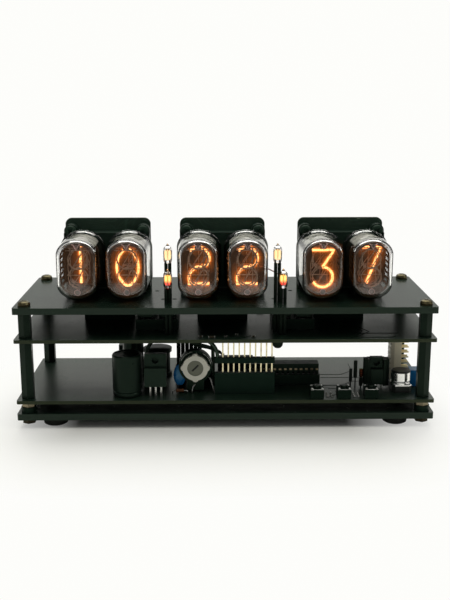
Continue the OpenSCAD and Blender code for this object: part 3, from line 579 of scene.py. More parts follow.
def bevel_box(low, high, edge=0.15):
    """Box with softened edges: three rings at each end step in by edge."""
    low, high = np.asarray(low, float), np.asarray(high, float)
    c, h = (low + high) / 2, (high - low) / 2
    rings = []
    for z, inset in ((-h[2], edge), (-h[2] + edge, 0), (h[2] - edge, 0), (h[2], edge)):
        x, y, k = h[0] - inset, h[1] - inset, edge
        rings.append([[-x + k, -y, z], [x - k, -y, z], [x, -y + k, z], [x, y - k, z],
                      [x - k, y, z], [-x + k, y, z], [-x, y - k, z], [-x, -y + k, z]])
    return loft((np.array(rings) + c)[::-1])


def oval_ring(a, b, cap, count=64):
    """Outline of a tube: straight sides a apart from the middle, half-ellipse ends."""
    t = np.linspace(0, 2 * math.pi, count, endpoint=False)
    rise = np.where(np.sin(t) >= 0, b - cap, cap - b)
    return a * np.cos(t), rise + cap * np.sin(t)


# ---------- pieces ----------

def glyph_paths(n, w, h):
    """Centre lines of a numeral in a cell 2w wide and 2h high, as lists of (x, z): straight
    strokes, and arcs at (radius cos t, radius sin t) round a centre."""
    def arc(cx, cz, r, a0, a1):
        t = np.radians(np.linspace(a0, a1, max(6, int(abs(a1 - a0) / 9))))
        return np.stack([cx + r * np.cos(t), cz + r * np.sin(t)], -1)

    def line(*pts):
        pts = np.array(pts, float)
        rows = [np.linspace(p, q, 8)[:-1] for p, q in zip(pts[:-1], pts[1:])]
        return np.concatenate(rows + [pts[-1:]])

    low, high = 0.54 * h, 0.5 * h
    if n == 0:
        e = w * 0.5
        side = ((h - e) ** 2 + w * w - e * e) / (2 * (w - e))
        t = math.degrees(math.atan2(h - e, side - w))
        return [np.concatenate([arc(w - side, 0, side, -t, t), arc(0, h - e, e, t, 180 - t),
                                arc(side - w, 0, side, 180 - t, 180 + t),
                                arc(0, e - h, e, 180 + t, 360 - t)])]
    if n == 1:
        return [line((0, -h), (0, h))]
    if n == 2:
        return [np.concatenate([arc(0, h - w, w, 140, -42),
                                line((w * 0.74, h - w * 1.67), (-w * 0.3, -h * 0.1))]),
                arc(w * 0.1, -h * 0.1 - w, w, 112, 205), line((-w, -h), (w, -h))]
    if n == 3:
        return [line((-w, h), (w, h), (0, 2 * low - h)), arc(0, low - h, low, 90, -150)]
    if n == 4:
        return [line((w * 0.5, h), (-w, -h * 0.4), (w, -h * 0.4)),
                line((w * 0.5, h), (w * 0.5, -h))]
    if n == 5:
        return [line((w, h), (-w * 0.8, h), (-w * 0.8, h * 0.02)), arc(0, low - h, low, 130, -150)]
    if n == 6:
        return [arc(0, low - h, low, 0, 360), line((-low * 0.9, low * 1.4 - h), (w * 0.6, h))]
    if n == 7:
        return [line((-w, h), (w, h), (-w * 0.25, -h))]
    if n == 8:
        return [arc(0, h - high, high, 0, 360), arc(0, low * 0.94 - h, low * 0.94, 0, 360)]
    return [arc(0, h - low, low, 0, 360), line((low * 0.9, h - low * 1.4), (-w * 0.6, -h))]


def glass_rings(axis, inset, flange):
    """Rings from the socket forwards: a slightly tapering oval, a shoulder that is a quarter of
    a circle, then a face that shrinks to its middle as it domes."""
    rounding = 2.5
    depth = rounding - inset
    start = ENVELOPE_LENGTH - rounding
    rows = []

    def ring(y, grow, k=1.0):
        x, z = oval_ring((ENVELOPE_W + grow) * k, (ENVELOPE_H + grow) * k,
                         (ENVELOPE_CAP + grow * 0.9) * k)
        rows.append(np.stack([x, np.full_like(x, y), z], -1))

    if flange:
        for y, grow in ((0, 0.7), (-0.05, 1.0), (-0.2, 1.1), (-1.3, 1.1), (-1.45, 1.0),
                        (-1.55, 0.75), (-2.1, 0.5), (-3.5, 0.42)):
            ring(y, grow - inset)
    else:
        for y, grow in ((0, 0.45), (-1.5, 0.45), (-3.5, 0.42)):
            ring(y, grow - inset)
    for t in np.linspace(0, 1, 5)[1:]:
        ring(-3.5 - t * (start - 3.5), 0.42 * (1 - t) - inset)
    for t in np.radians(np.linspace(12, 90, 8)):
        ring(-start - depth * math.sin(t), -inset - depth * (1 - math.cos(t)))
    for k in (0.92, 0.8, 0.62, 0.42, 0.22, 0.06):
        ring(inset - ENVELOPE_LENGTH - 0.5 * (1 - k * k), -rounding, k)
    return np.array(rows) + np.asarray(axis)


def tube_envelope(axis):
    """Outer rings and inner rings joined at the socket: a closed wall of even thickness."""
    return loft(np.concatenate([glass_rings(axis, 0.9, False)[::-1],
                                glass_rings(axis, 0.0, True)]))


def lamp_envelope(centre, low, high, radius):
    """Small neon lamp: a turned wall, necked at the foot, domed and pinched to a tip."""
    h = high - low
    outer = [(radius * 0.72, 0.0), (radius * 0.86, 0.5), (radius, 1.4), (radius, h - 2.9),
             (radius * 0.95, h - 2.3), (radius * 0.8, h - 1.75), (radius * 0.5, h - 1.25),
             (radius * 0.27, h - 0.85), (radius * 0.2, h - 0.3), (0.06, h)]
    inner = [(0.05, h - 1.5), (radius * 0.38, h - 1.65), (radius * 0.64, h - 2.1),
             (radius - 0.34, h - 2.9), (radius - 0.34, 1.5), (radius * 0.68, 0.7),
             (radius * 0.5, 0.0)]
    return turn(inner + outer, (centre[0], centre[1], low), 32)


def scatter_chips(low, high, z, count, seed, sizes):
    """Small surface parts laid on a board: bodies with two metal end caps, on a 1.27 mm grid
    drawn from a seeded generator, none nearer than 4 mm to another."""
    rng = np.random.default_rng(seed)
    taken, bodies, caps = [], [], []
    for _ in range(count * 12):
        if len(taken) == count:
            break
        p = np.round(rng.uniform(low, high) / 1.27) * 1.27
        if any(np.abs(p - q).max() < 4 for q in taken):
            continue
        taken.append(p)
        w, d, t = sizes[rng.integers(len(sizes))]
        if rng.random() < 0.5:
            w, d = d, w
        along = np.array([1, 0]) if w > d else np.array([0, 1])
        half = np.array([w, d]) / 2
        bodies.append(bevel_box([*(p - half), z], [*(p + half), z + t], 0.08))
        for s in (-1, 1):
            c = p + along * s * (max(w, d) / 2 - 0.22)
            g = np.where(along == 1, 0.26, half + 0.05)
            caps.append(bevel_box([*(c - g), z], [*(c + g), z + t + 0.05], 0.06))
    return join(*bodies), join(*caps)


# ---------- operators ----------

class Build:
    """Shared by the operators."""
    bl_options = {"REGISTER", "UNDO"}


class NIXIE_OT_finish_solids(Build, bpy.types.Operator):
    """Give every solid of the clock its finish"""
    bl_idname = "nixie.finish_solids"
    bl_label = "Finish the solids"

    def execute(self, context):
        f = context.scene.nixie_finishes
        lacquer, edge, cream, blue = (tuple(c) for c in (f.lacquer, f.laminate, f.cream, f.blue))
        disc = middle("trimmer_rotor")
        contacts = span("nylon_connector")[1][0] - 3.9
        chip_row = -8.0
        finishes = {
            "foot_rubber": rubber("foot rubber", (0.008, 0.010, 0.008)),
            "black_acrylic": acrylic("black acrylic", tuple(f.acrylic)),
            "brass_nuts": brass_with_painted_shade_below("brass nut with painted shade below"),
            "black_nylon": moulding("black nylon", BLACK, 0.5),
            "black_board": board("black board", lacquer, edge),
            "black_posts": satin_paint("black post coating", (0.0055, 0.010, 0.007)),
            "brass_screws": lathe_metal("dark brass screw", (0.1, 0.085, 0.045), 0.34, (1, 1, 3),
                                        (0.015, 0.015, 0.01)),
            "socket_moulding": moulding("socket moulding", (0.008, 0.017, 0.012), 0.46),
            "black_screws": moulding("black oxide screw", shade(lacquer, 1.3), 0.5),
            "steel_nuts": lathe_metal("zinc nut", SILVER, 0.3),
            "connector_moulding": moulding("connector moulding", (0.009, 0.02, 0.014), 0.5,
                                           gleam=0.04),
            "stem_glass": moulding("pressed glass stem", (0.05, 0.045, 0.04), 0.25, 1.2, 0.01),
            "tinned_pins": lathe_metal("tinned pin", (0.6, 0.6, 0.57), 0.25),
            "anode_sheet": sheet_with_painted_glow("anode sheet with painted glow"),
            "nickel_rods": lathe_metal("nickel rod", (0.3, 0.22, 0.19), 0.4, (1, 5, 1)),
            # painted shade: the white ceramic ring is coloured dark brown, as the shade it sits in
            # inside the tube
            "white_ceramic": moulding("ceramic ring painted dark", (0.05, 0.036, 0.028), 0.5, 0.3, 0.01),
            "lamp_glass": clear_glass("lamp glass"),
            "electrode_wire": lathe_metal("electrode wire", (0.12, 0.11, 0.09), 0.4),
            "black_sleeving": moulding("black sleeving", (0.005, 0.008, 0.006), 0.5, 0.5),
            "black_sleeved_can": moulding("sleeved can", (0.005, 0.0095, 0.007), 0.3, 1.5, 0.01),
            "black_package": moulding("moulded epoxy", EPOXY, 0.44, 0.2, 0.015),
            "blue_coating": moulding("blue dipped coating", blue, 0.22, 1.2, 0.03, 0.15, 0.5),
            "trimmer_moulding": moulding("trimmer moulding", BLACK, 0.44),
            "cream_plastic": trimmer_disc("cream disc", (0.66, 0.65, 0.56), (disc[0], disc[2])),
            "gold_pins": lathe_metal("gold plated pin", (0.95, 0.82, 0.54), 0.35, (4, 4, 1),
                                     (0.4, 0.3, 0.15)),
            "switch_moulding": moulding("switch case", (0.004, 0.009, 0.006), 0.5, gleam=0.04),
            "button_plastic": moulding("button", (0.004, 0.006, 0.005), 0.3),
            "black_anodised": satin_paint("black anodising", (0.005, 0.009, 0.0065), 0.42),
            "bare_can": surface_can("drawn aluminium"),
            "cream_nylon": nylon_with_painted_shade("cream nylon", cream, contacts),
            "lacquer": moulding("baked lacquer", (0.012, 0.013, 0.010), 0.3, 0.8, 0.015, 0.5),
            "black_insulation": moulding("wire insulation", (0.005, 0.008, 0.006), 0.25, 2.5, 0.01,
                                         gleam=0.5),
            "inlet_moulding": moulding("inlet moulding", BLACK, 0.42),
            "tube_glass": clear_glass("tube glass"),
            "numeral_sheet": lathe_metal("numeral sheet", (0.55, 0.39, 0.29), 0.42, (3, 1, 3),
                                         (0.3, 0.2, 0.14)),
        }
        deck = span("main_board")[1][2]
        special = {
            # painted light: the upright module boards use the board lacquer made 1.8 times
            # lighter, standing in for light on their faces
            "module_board_1": board("module board painted lighter", shade(lacquer, 1.8), edge, "Y", 1.9),
            "power_regulator": legged("power package", EPOXY, SILVER,
                                      lambda g: g.axis("Z") < deck + 4.9),
            "clip_regulator": legged("clipped package", EPOXY, SILVER,
                                     lambda g: g.axis("Z") < deck + 2.1),
            "disc_capacitor": legged("dipped disc", blue, SILVER,
                                     lambda g: g.axis("Z") < deck + 4.1, 0.3, 0.5),
            "chips": legged("chip package", EPOXY, (0.32, 0.26, 0.17),
                            lambda g: ((g.axis("Y") - chip_row).abs() > 3.22)
                            * (g.axis("Z") > deck + 7.4) * (g.axis("Z") < deck + 20), 0.44),
            "upright_parts": legged("lacquered part", (0.008, 0.010, 0.008), (0.1, 0.028, 0.014),
                                    lambda g: (g.axis("X") > 62.9) * (g.axis("Z") > deck + 5.3)
                                    * 0.95),
        }
        special["module_board_2"] = special["module_board_3"] = special["module_board_1"]
        for part in frame["record"]["subparts"]:
            node = NODES[part["node"]]
            node.data.materials.clear()
            node.data.materials.append(special.get(part["node"])
                                       or finishes[part["material_slot"]])
        return {"FINISHED"}


class NIXIE_OT_tube_glass(Build, bpy.types.Operator):
    """Blow the six smooth glass envelopes round their numeral stacks"""
    bl_idname = "nixie.tube_glass"
    bl_label = "Tube glass"

    def execute(self, context):
        finish = clear_glass("nixie glass")
        for i in TUBES:
            made = make_piece("envelope_%d" % i, *tube_envelope(tube_axis(i)), finish)
            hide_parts("tube_glass_%d" % i)
        return {"FINISHED"}


class NIXIE_OT_lit_numerals(Build, bpy.types.Operator):
    """Light one numeral in each tube: a glowing core in shells of dimmer gas, and wider shells of
    painted glow round those
    """
    bl_idname = "nixie.lit_numerals"
    bl_label = "Lit numerals"

    def execute(self, context):
        d = context.scene.nixie_digits
        half_w, half_h, half_sheet, half_depth = 5.025, 8.625, 0.15, 0.8
        core = glow("numeral core", tuple(d.core), d.strength, grain=0.8, dip=0.42)
        # radius in mm and finish of each shell; the two halos are gas glow, the three washes round
        # them are painted glow for the numerals' light spread through the tube
        shells = [(0.75, glow("inner halo", tuple(d.halo), 4.0, 0.1)),
                  (1.3, glow("outer halo", tuple(d.halo), 5.0, 0.04)),
                  (2.1, glow("near painted glow", (1.0, 0.22, 0.03), 3.0, 0.013)),
                  (3.3, glow("far painted glow", (1.0, 0.24, 0.035), 3.0, 0.008)),
                  (4.6, glow("last painted glow", (1.0, 0.25, 0.04), 3.0, 0.006))]
        for i, figure in enumerate(d.shown):
            node = "numerals_%d" % (i + 1)
            x, _, z = middle(node)
            y = span(node)[0][1] + STACK_ORDER.index(figure) * STACK_PITCH + half_sheet
            paths = [np.stack([p[:, 0] + x, np.full(len(p), y), p[:, 1] + z], -1)
                     for p in glyph_paths(int(figure), half_w, half_h)]
            make_piece("lit_%d" % (i + 1),
                       *join(*(sweep(p, d.core_radius, 8) for p in paths)), core)
            for k, (radius, finish) in enumerate(shells):
                gas, faces = join(*(sweep(p, radius * d.spread, 12) for p in paths))
                gas[:, 1] = y + (gas[:, 1] - y) * min(1.0, half_depth / radius)
                make_piece("halo_%d_%d" % (k + 1, i + 1), gas, faces, finish)
        return {"FINISHED"}


class NIXIE_OT_colons(Build, bpy.types.Operator):
    """Make the neon lamps of the colons: smooth glass and glowing electrodes"""
    bl_idname = "nixie.colons"
    bl_label = "Colons"

    def execute(self, context):
        heights, height, radius = (7.1, 18.2), 9.0, 2.0
        top = span("top_plate")[1][2]
        y_front, behind = span("top_plate")[0][1] + 9, 3.3
        blush = top + heights[0] + 3.5
        glass = clear_glass("neon lamp glass")
        finishes = (("low", glow("lower electrode glow", (1.0, 0.62, 0.2), 3.2,
                                 foot=((0.9, 0.04, 0.01), blush - 1, blush + 0.6)),
                     glow("deep neon gas", (1.0, 0.46, 0.08), 2.0, 0.6,
                          foot=((0.32, 0.008, 0.004), blush - 1, blush + 0.6))),
                    ("high", glow("upper electrode glow", (1.0, 0.7, 0.34), 2.2),
                     glow("pale neon gas", (1.0, 0.62, 0.27), 1.5, 0.6)))
        # turned shapes as (radius, height)
        rod = [(0.1, 0), (0.5, 0.15), (0.5, 4.1), (0.35, 4.5), (0.1, 4.6)]
        shell = [(0.1, 0.3), (1.0, 0.6), (1.5, 1.6), (1.55, 4.2), (1.2, 5.2), (0.1, 5.6)]
        shapes, rods, gas = [], ([], []), ([], [])
        # middle of each colon, and how far its lower lamp is right of it and the upper left
        for x, aside in ((-26.3, 0.0), (25.1, 1.25)):
            for up in (0, 1):
                cx, cy = x + (-aside if up else aside), y_front + up * behind
                z0 = top + heights[up]
                shapes.append(lamp_envelope((cx, cy), z0, z0 + height, radius))
                for s in (-1, 1):
                    rods[up].append(turn(rod, (cx + s * 0.6, cy, z0 + 1.5), 14))
                gas[up].append(turn(shell, (cx, cy, z0 + 0.8), 20))
        made = make_piece("neon_lamps", *join(*shapes), glass)
        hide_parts("colon_lamps")
        for up, (name, hot, haze) in enumerate(finishes):
            make_piece("neon_electrodes_" + name, *join(*rods[up]), hot)
            make_piece("neon_gas_" + name, *join(*gas[up]), haze)
        return {"FINISHED"}


class NIXIE_OT_tube_fittings(Build, bpy.types.Operator):
    """Ring the rods' heads at the foot of each stack and clip a spring over their tops"""
    bl_idname = "nixie.tube_fittings"
    bl_label = "Tube fittings"

    def execute(self, context):
        # painted light: the nickel of the foot rings and springs is tinted pink-orange for the
        # numerals' glow on it
        copper = lathe_metal("nickel with painted glow tint", (0.72, 0.44, 0.4), 0.36, (3, 1, 3),
                             (0.3, 0.12, 0.08))
        front = span("stack_rods")[0][1]
        reach = 10.4  # of the ring under the stack's middle and of the spring over it
        t = np.linspace(0, 2 * math.pi, 25)
        bow = np.array([(-1.9, 1.3), (-1.2, 1.0), (-0.5, -0.2), (0, -1.1), (0.5, -0.2),
                        (1.2, 1.0), (1.9, 1.3)])
        rings, clips = [], []
        for i in TUBES:
            x, _, z = middle("numerals_%d" % i)
            ring = np.stack([x + 1.3 * np.cos(t), np.full_like(t, front - 0.2),
                             z - reach + 1.3 * np.sin(t)], -1)
            rings.append(sweep(ring, 0.2, 8))
            path = np.stack([x + bow[:, 0], np.full(7, front - 0.22), z + reach + bow[:, 1]], -1)
            clips.append(sweep(path, 0.22, 8))

        # the film: the top of the envelope's oval, 0.15 mm thick, patchy as if blown on
        film = Finish("getter film", (0.5, 0.5, 0.46), 0.35).fixed(Specular_IOR_Level=0.4)
        cloud = film.noise(2.2, 4, (1, 0.7, 1), 0.65)
        film.to("Base Color", film.mix(cloud.step(0.3, 0.7), (0.74, 0.73, 0.64),
                                       (1.0, 0.98, 0.88)))
        film.to("Roughness", 0.28 + cloud * 0.3)
        film.to("Alpha", cloud.step(0.3, 0.5) * 0.4 + 0.6)
        arc = np.radians(np.linspace(28, 152, 28))
        films = []
        for i in TUBES:
            rows = []
            for y in np.linspace(-4.2, -20.8, 12):
                shell = []
                for inset, way in ((1.05, 1), (1.2, -1)):
                    cap = ENVELOPE_CAP - inset * 0.9
                    shell.append(np.stack([
                        (ENVELOPE_W + 0.15 - inset) * np.cos(arc), np.full_like(arc, y),
                        ENVELOPE_H + 0.15 - inset - cap + cap * np.sin(arc)], -1)[::way])
                rows.append(np.concatenate(shell))
            films.append(loft(np.array(rows) + tube_axis(i)))
        make_piece("getter_films", *join(*films), film.mat)
        make_piece("foot_rings", *join(*rings), copper)
        make_piece("top_springs", *join(*clips), copper)
        return {"FINISHED"}


class NIXIE_OT_chips(Build, bpy.types.Operator):
    """Lay the flat small parts on the driver board"""
    bl_idname = "nixie.chips"
    bl_label = "Chips"

    def execute(self, context):
        tan = moulding("tan chip capacitor", (0.045, 0.036, 0.024), 0.4, 0.4, 0.01, 0.1)
        grey = moulding("grey chip resistor", (0.012, 0.015, 0.015), 0.35, 0.4, 0.01, 0.2)
        sizes = ((2.0, 1.25, 0.6), (3.2, 1.6, 0.7), (1.6, 0.8, 0.5))
        z = span("driver_board")[1][2]
        # name, corners of the area, how many, seed of the draw, finish
        for name, low, high, count, seed, finish in (
                ("driver", (-14, -30), (14, -25), 6, 3, tan),
                ("driver_back", (-50, 14), (50, 30), 16, 5, grey)):
            bodies, caps = scatter_chips(low, high, z, count, seed, sizes)
            make_piece(name + "_chips", *bodies, finish, smooth=False)
            make_piece(name + "_chip_ends", *caps, solder(), smooth=False)
        return {"FINISHED"}


class NIXIE_OT_tracks(Build, bpy.types.Operator):
    """Raise the copper tracks of both boards: straight runs from corner to corner"""
    bl_idname = "nixie.tracks"
    bl_label = "Tracks"

    def execute(self, context):
        covered = moulding("covered track", (0.004, 0.008, 0.005), 0.6, 0.8, 0.01)
        runs = {
            "main_board": (
                [(47, -1), (70, -1), (75, 4), (75, 12)],
                [(47, -13), (56, -13), (62, -7), (69, -7)],
                [(49, -18), (55, -18), (60, -13), (60, -10)],
                [(30, 4), (58, 4), (64, 10), (64, 22)], [(52, -21), (52, -26), (48, -30)]),
            "driver_board": (
                [(57, -31), (61, -29), (67, -21), (62, -10), (56, -2)],
                [(58, -28), (60, -27), (64, -20), (59, -10)],
                [(62, -31), (76, -31), (78, -29)], [(60, -24), (61, -24), (80, -24)],
                [(-8, -31), (8, -31), (12, -27)])}
        ribbons = []
        for node, paths in runs.items():
            z = span(node)[1][2]
            for corners in paths:
                points = np.array(corners, float)
                rows = np.concatenate([np.linspace(p, q, 6)[:-1] for p, q in
                                       zip(points[:-1], points[1:])] + [points[-1:]])
                ribbons.append(sweep(np.column_stack([rows, np.full(len(rows), z)]), 0.16, 6))
        make_piece("tracks", *join(*ribbons), covered)
        return {"FINISHED"}


class NIXIE_OT_solder(Build, bpy.types.Operator):
    """Dome the solder joints beside the switches and on the backs of the module boards"""
    bl_idname = "nixie.solder"
    bl_label = "Solder joints"

    def execute(self, context):
        dome = [(0.05, -0.05), (0.62, -0.05), (0.5, 0.25), (0.25, 0.5), (0.05, 0.55)]
        left, deck = span("switch_bodies")[0][0] + 3.1, span("main_board")[1][2]
        joints = [turn(dome, (left + SWITCH_PITCH * k + dx, -29.6 + 1.9 * row, deck), 10)
                  for k in (0, 1) for dx in (5.2, 7.3) for row in range(4)]
        make_piece("board_joints", *join(*joints), solder())
        back = span("module_board_1")[1][1]
        joints = []
        for i in TUBES:  # twelve pins on an oval round the axis
            x, _, z = tube_axis(i)
            joints += [turn(dome, (x + 6.4 * math.cos(a), back, z + 11 * math.sin(a)), 10, "Y")
                       for a in np.radians(30 * np.arange(12) + 15)]
        make_piece("socket_joints", *join(*joints), solder())
        return {"FINISHED"}


class NIXIE_OT_trimmer_wiring(Build, bpy.types.Operator):
    """Lay the resistor, the bare leads and the thin wires round the trimmer"""
    bl_idname = "nixie.trimmer_wiring"
    bl_label = "Trimmer wiring"

    def execute(self, context):
        deck = span("main_board")[1][2]
        brown = moulding("brown resistor", (0.11, 0.045, 0.022), 0.4, 0.5, 0.01, 0.2)
        y, z = -23.5, deck + 1.3
        body = [(0.05, -1.9), (0.8, -1.8), (0.95, -1.2), (0.75, -0.8),
                (0.75, 0.8), (0.95, 1.2), (0.8, 1.8), (0.05, 1.9)]
        make_piece("lying_resistor", *turn(body, (-21.4, y, z), 20, "X"), brown)

        # the resistor's lead, two legs of the trimmer, and two arcs of its wiper ring
        wires = [sweep([(-25, y, deck), (-24.9, y, z - 0.4), (-24.4, y, z), (-18.4, y, z),
                        (-17.9, y, z - 0.4), (-17.8, y, deck)], 0.27, 8)]
        for path in ([(-14.1, -20.6, 18.6), (-14.3, -22.4, 17.6), (-15.4, -23.0, 16.2),
                      (-15.6, -23.2, 14.8), (-15.7, -23.4, deck)],
                     [(-8.6, -20.6, 21.2), (-6.9, -22.0, 19.6), (-6.3, -22.6, 17.6),
                      (-5.7, -23.0, 15.6), (-5.6, -23.4, deck)]):
            wires.append(sweep(path, 0.33, 8))
        hub, front, radius = middle("trimmer_rotor"), span("trimmer_body")[0][1] - 0.12, 7.35
        for start, end in ((100, 158), (8, 62)):
            a = np.radians(np.linspace(start, end, 16))
            wires.append(sweep(np.stack([hub[0] + radius * np.cos(a), np.full(16, front),
                                         hub[2] + radius * np.sin(a)], -1), 0.14, 8))
        make_piece("bare_leads", *join(*wires), solder())

        # two wires side by side along knots joined by straight runs, softened by one average
        insulation = moulding("thin wire insulation", ENAMEL, 0.45, 2.5, 0.01)
        knots = np.array([(-21, -16, 40.6), (-18.5, -18.5, 38.6), (-15.2, -20.6, 37.0),
                          (-9.5, -21.6, 36.3), (-5.6, -22.4, 35.2), (-2.2, -23.4, 33.4)])
        t = np.linspace(0, 5, 32)
        looped = []
        for drop, back in ((0, 0), (1.5, 0.8)):
            path = np.stack([np.interp(t, np.arange(6), knots[:, k]) for k in range(3)], -1)
            path[1:-1] = (path[:-2] + 2 * path[1:-1] + path[2:]) / 4
            path[1:] -= [0, 0, drop]
            looped.append(sweep(path + [drop, back, 0], 0.58, 8))
        make_piece("thin_wires", *join(*looped), insulation)
        return {"FINISHED"}


class NIXIE_OT_rear_parts(Build, bpy.types.Operator):
    """Dip the blue disc's legs and stand the dark parts behind the trimmer and the header"""
    bl_idname = "nixie.rear_parts"
    bl_label = "Rear parts"

    def execute(self, context):
        deck, ceiling = span("main_board")[1][2], span("driver_board")[0][2]

        # an oval turned about its upright axis and pressed flat from front to back
        radius, half_height, press = 3.0, 5.2, 0.36
        t = np.linspace(-math.pi / 2, math.pi / 2, 16)[1:-1]
        coat, faces = turn(np.stack([radius * np.cos(t), half_height * np.sin(t)], -1),
                           (0, 0, 0), 28)
        blue = tuple(context.scene.nixie_finishes.blue)
        make_piece("dip_coating", coat * [1, press, 1] + [-21.5, -21.46, 21.9], faces,
                   moulding("blue dip", blue, 0.25, 1.2, 0.03, 0.15, 0.5))

        # a drum with a waist from 12 to 88 percent of its height, under a sine of fine turns
        rim, waist, height = 7.0, 0.9, 13.9
        z = np.linspace(0, 1, 60)
        wound = rim - waist * ((z > 0.12) & (z < 0.88)) + 0.18 * np.sin(z * 90) ** 2
        drum = [(0.05, 0), *np.column_stack([wound, height * z]), (0.05, height)]
        make_piece("wound_choke", *turn(drum, (-33.5, 5.5, deck), 36),
                   moulding("black enamel winding", ENAMEL, 0.4, 0.6, 0.02))

        risers = [bevel_box([x, -6.4, deck], [x + 1.9, -4.8, ceiling], 0.2)
                  for x in np.arange(-23.5, -12.5, 2.05)]
        strip = bevel_box([-24, -7.2, deck], [-5.2, -4.0, deck + 8.5], 0.2)
        make_piece("riser_strip", *join(strip, *risers),
                   moulding("riser strip", ENAMEL, 0.5, gleam=0.05))
        block = bevel_box([-3.6, 6.0, deck + 0.4], [14.2, 13.4, deck + 7.6], 0.2)
        legs = [bevel_box([x, 5.6, deck], [x + 0.5, 13.8, deck + 2.2], 0.08)
                for x in np.arange(-2.6, 13.5, PIN_PITCH)]
        make_piece("rear_array", *join(block, *legs),
                   moulding("rear array", ENAMEL, 0.5, gleam=0.05))
        return {"FINISHED"}


class NIXIE_OT_loose_leads(Build, bpy.types.Operator):
    """Hang the right colon's pale lead and the sleeved splice under the driver board"""
    bl_idname = "nixie.loose_leads"
    bl_label = "Loose leads"

    def execute(self, context):
        pink = moulding("pink lead", (0.5, 0.3, 0.27), 0.4, 1.0, 0.01, 0.1)
        # a curve of the second degree from behind the middle module to the colon
        a, b, c = (np.array(v) for v in ((15.0, -6.0, 71.2), (18.6, -19.5, 73.2),
                                         (24.4, -21.4, 70.0)))
        t = np.linspace(0, 1, 14)[:, None]
        curve = (1 - t) ** 2 * a + 2 * t * (1 - t) * b + t * t * c
        make_piece("colon_lead", *sweep(curve, 0.28, 8), pink)
        sleeve = moulding("hanging sleeve", (0.005, 0.009, 0.006), 0.5)
        bulb = [(0.05, -4.9), (1.4, -4.6), (2.3, -3.6), (2.55, -2.2), (2.55, 0.0), (0.05, 0.0)]
        make_piece("sleeved_splice", *turn(bulb, (24.1, -25.5, span("driver_board")[0][2]), 28),
                   sleeve)
        return {"FINISHED"}


class NIXIE_OT_switch_covers(Build, bpy.types.Operator):
    """Set rivets at the four corners of each of the three setting switches and a thin lip along
    each front edge
    """
    bl_idname = "nixie.switch_covers"
    bl_label = "Switch covers"

    def execute(self, context):
        steel = lathe_metal("switch cover", (0.92, 0.92, 0.88), 0.4, (1, 8, 1))
        low, high = span("switch_bodies")
        y, z = (low[1] + high[1]) / 2, high[2]
        half = (high[1] - low[1]) / 2
        rivet = [(0.05, -0.1), (0.55, -0.1), (0.55, 0.12), (0.35, 0.26), (0.05, 0.3)]
        parts = []
        for x in low[0] + half + SWITCH_PITCH * np.arange(3):
            for sx, sy in ((-1, -1), (-1, 1), (1, -1), (1, 1)):
                parts.append(turn(rivet, (x + sx * (half - 0.75), y + sy * (half - 0.75), z), 10))
            parts.append(bevel_box([x - half + 0.1, low[1] - 0.02, z - 0.42],
                                   [x + half - 0.1, low[1] + 0.16, z - 0.26], 0.03))
        made = make_piece("cover_rivets", *join(*parts), steel)
        return {"FINISHED"}


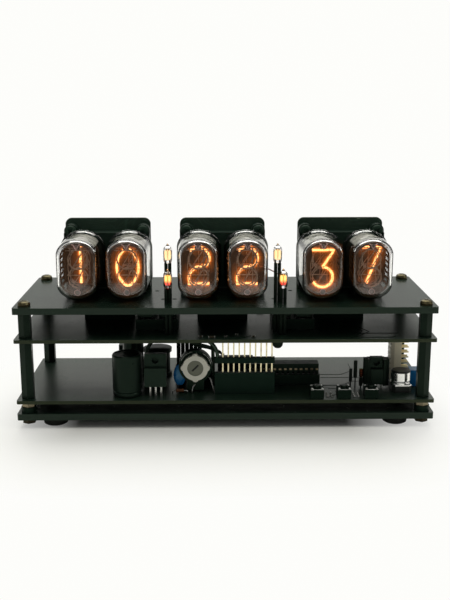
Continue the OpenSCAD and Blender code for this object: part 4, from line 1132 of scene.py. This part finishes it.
class NIXIE_OT_stage(Build, bpy.types.Operator):
    """Set the pale floor, the soft lamps and the camera"""
    bl_idname = "nixie.stage"
    bl_label = "Stage"

    def execute(self, context):
        s, scene = context.scene.nixie_studio, context.scene

        # the floor darkens far ahead, out of the picture, so that the tubes' fronts stay clear
        floor = Finish("studio floor", tuple(s.floor), 0.9)
        shine = Val(floor, floor.node("TexNoise", {}, {"Vector": floor.place(), "Scale": 0.01}))
        floor.to("Roughness", 0.85 + shine * 0.1)
        floor.to("Base Color", floor.mix(floor.axis("Y").step(-210, -300), tuple(s.floor),
                                         (0.06, 0.06, 0.06)))

        # the camera and glass see it white away from the clock: white grows with the distance
        # from a rectangle round the feet; gloss sees a part of that behind the clock
        behind = floor.axis("Y").step(60, 260) * 0.36
        seen = floor.direct().most(floor.ray("Is Glossy Ray") * behind)
        aside = ((floor.axis("X") + 6).abs() - 60).most(0) * 1.2
        ahead = (floor.axis("Y").abs() - CAD_BOX[1][1] / MM).most(0)
        away = ((aside * aside + ahead * ahead) ** 0.5).step(3, s.reach)
        white = floor.node("Emission", {}, {"Color": (0.985, 0.985, 0.96, 1), "Strength": 1.0})
        blend = floor.node("MixShader", {}, {0: seen * away, 1: floor.bsdf.outputs[0], 2: white})
        floor.tree.links.new(blend, floor.tree.nodes["Material Output"].inputs["Surface"])

        # a plane that bends upwards at the back
        size, bend, rise = 3000, 600, 1800
        t = np.linspace(0, math.pi / 2, 16)
        profile = np.array([(-size, 0), *zip(size - bend + bend * np.sin(t),
                                             bend - bend * np.cos(t)), (size, rise)])
        x = np.array([-size, size])
        points = np.stack(np.broadcast_arrays(x, profile[:, :1], profile[:, 1:]), -1)
        ground = new_object("studio_floor", points.reshape(-1, 3),
                            grid_faces(len(profile), 2, wrap=False), floor.mat)

        # place and aim in metres, size in metres, share of the key's power
        for name, place, aim, size, share in (
                ("key", (-0.25, -0.15, 1.2), (0, 0, 0.04), 1.3, 1.14),
                ("right", (0.9, -0.3, 0.8), (0, 0, 0.05), 0.5, 0.35),
                ("rear", (0.05, 0.85, 1.15), (0, 0, 0.05), 1.3, 2.6)):
            data = bpy.data.lights.new(name, "AREA")
            data.size, data.energy, data.color = size, s.key * share, (1, 0.99, 0.925)
            lamp = bpy.data.objects.new(name, data)
            lamp.location = place
            turned = (Vector(aim) - Vector(place)).to_track_quat("-Z", "Y")
            lamp.rotation_euler = turned.to_euler()
            scene.collection.objects.link(lamp)

        # the sky: white for the camera and through glass, a soft fill for all else
        scene.world = bpy.data.worlds.new("studio")
        scene.world.use_nodes = True
        sky = Nodes(scene.world.node_tree)
        back = sky.tree.nodes["Background"]
        back.inputs["Color"].default_value = (1, 1, 0.985, 1)
        strength = sky.node("MapRange", {}, {"Value": sky.direct(), "To Min": s.fill,
                                             "To Max": 1.0})
        sky.tree.links.new(strength, back.inputs["Strength"])

        # the camera, found from the photo: turned to the right, tipped down, then rolled
        data = bpy.data.cameras.new("photo_camera")
        data.sensor_fit, data.sensor_height, data.lens = "VERTICAL", 36, s.lens
        camera = bpy.data.objects.new("photo_camera", data)
        yaw, pitch, roll = (math.radians(v) for v in (0.5663, 13.212, -0.066))
        camera.matrix_world = (Matrix.Translation(Vector(s.eye)) @ Matrix.Rotation(-yaw, 4, "Z")
                               @ Matrix.Rotation(math.pi / 2 - pitch, 4, "X")
                               @ Matrix.Rotation(roll, 4, "Z"))
        scene.collection.objects.link(camera)
        scene.camera = camera
        scene.view_settings.view_transform = "Standard"
        return {"FINISHED"}


class NIXIE_PT_panel(bpy.types.Panel):
    """Lists the settings and the building steps"""
    bl_label = "Nixie clock"
    bl_idname = "NIXIE_PT_panel"
    bl_space_type = "VIEW_3D"
    bl_region_type = "UI"
    bl_category = "Nixie"

    def draw(self, context):
        for title, group in (("Numerals", "nixie_digits"), ("Finishes", "nixie_finishes"),
                             ("Studio", "nixie_studio")):
            box = self.layout.box()
            box.label(text=title)
            settings = getattr(context.scene, group)
            for key in settings.__annotations__:
                box.prop(settings, key)
        for step in STEPS:
            self.layout.operator(step.bl_idname)


GROUPS = {"nixie_digits": DigitSettings, "nixie_finishes": FinishSettings,
          "nixie_studio": StudioSettings}
STEPS = (NIXIE_OT_finish_solids, NIXIE_OT_tube_glass, NIXIE_OT_lit_numerals, NIXIE_OT_colons,
         NIXIE_OT_tube_fittings, NIXIE_OT_chips, NIXIE_OT_tracks, NIXIE_OT_solder,
         NIXIE_OT_trimmer_wiring, NIXIE_OT_rear_parts, NIXIE_OT_loose_leads,
         NIXIE_OT_switch_covers, NIXIE_OT_stage)


def register():
    for cls in (*GROUPS.values(), *STEPS, NIXIE_PT_panel):
        bpy.utils.register_class(cls)
    for name, cls in GROUPS.items():
        setattr(bpy.types.Scene, name, bpy.props.PointerProperty(type=cls))


def unregister():
    for name in GROUPS:
        delattr(bpy.types.Scene, name)
    for cls in reversed((*GROUPS.values(), *STEPS, NIXIE_PT_panel)):
        bpy.utils.unregister_class(cls)


def main():
    register()
    for step in STEPS:
        group, name = step.bl_idname.split(".")
        getattr(getattr(bpy.ops, group), name)()


if __name__ == "__main__":
    main()
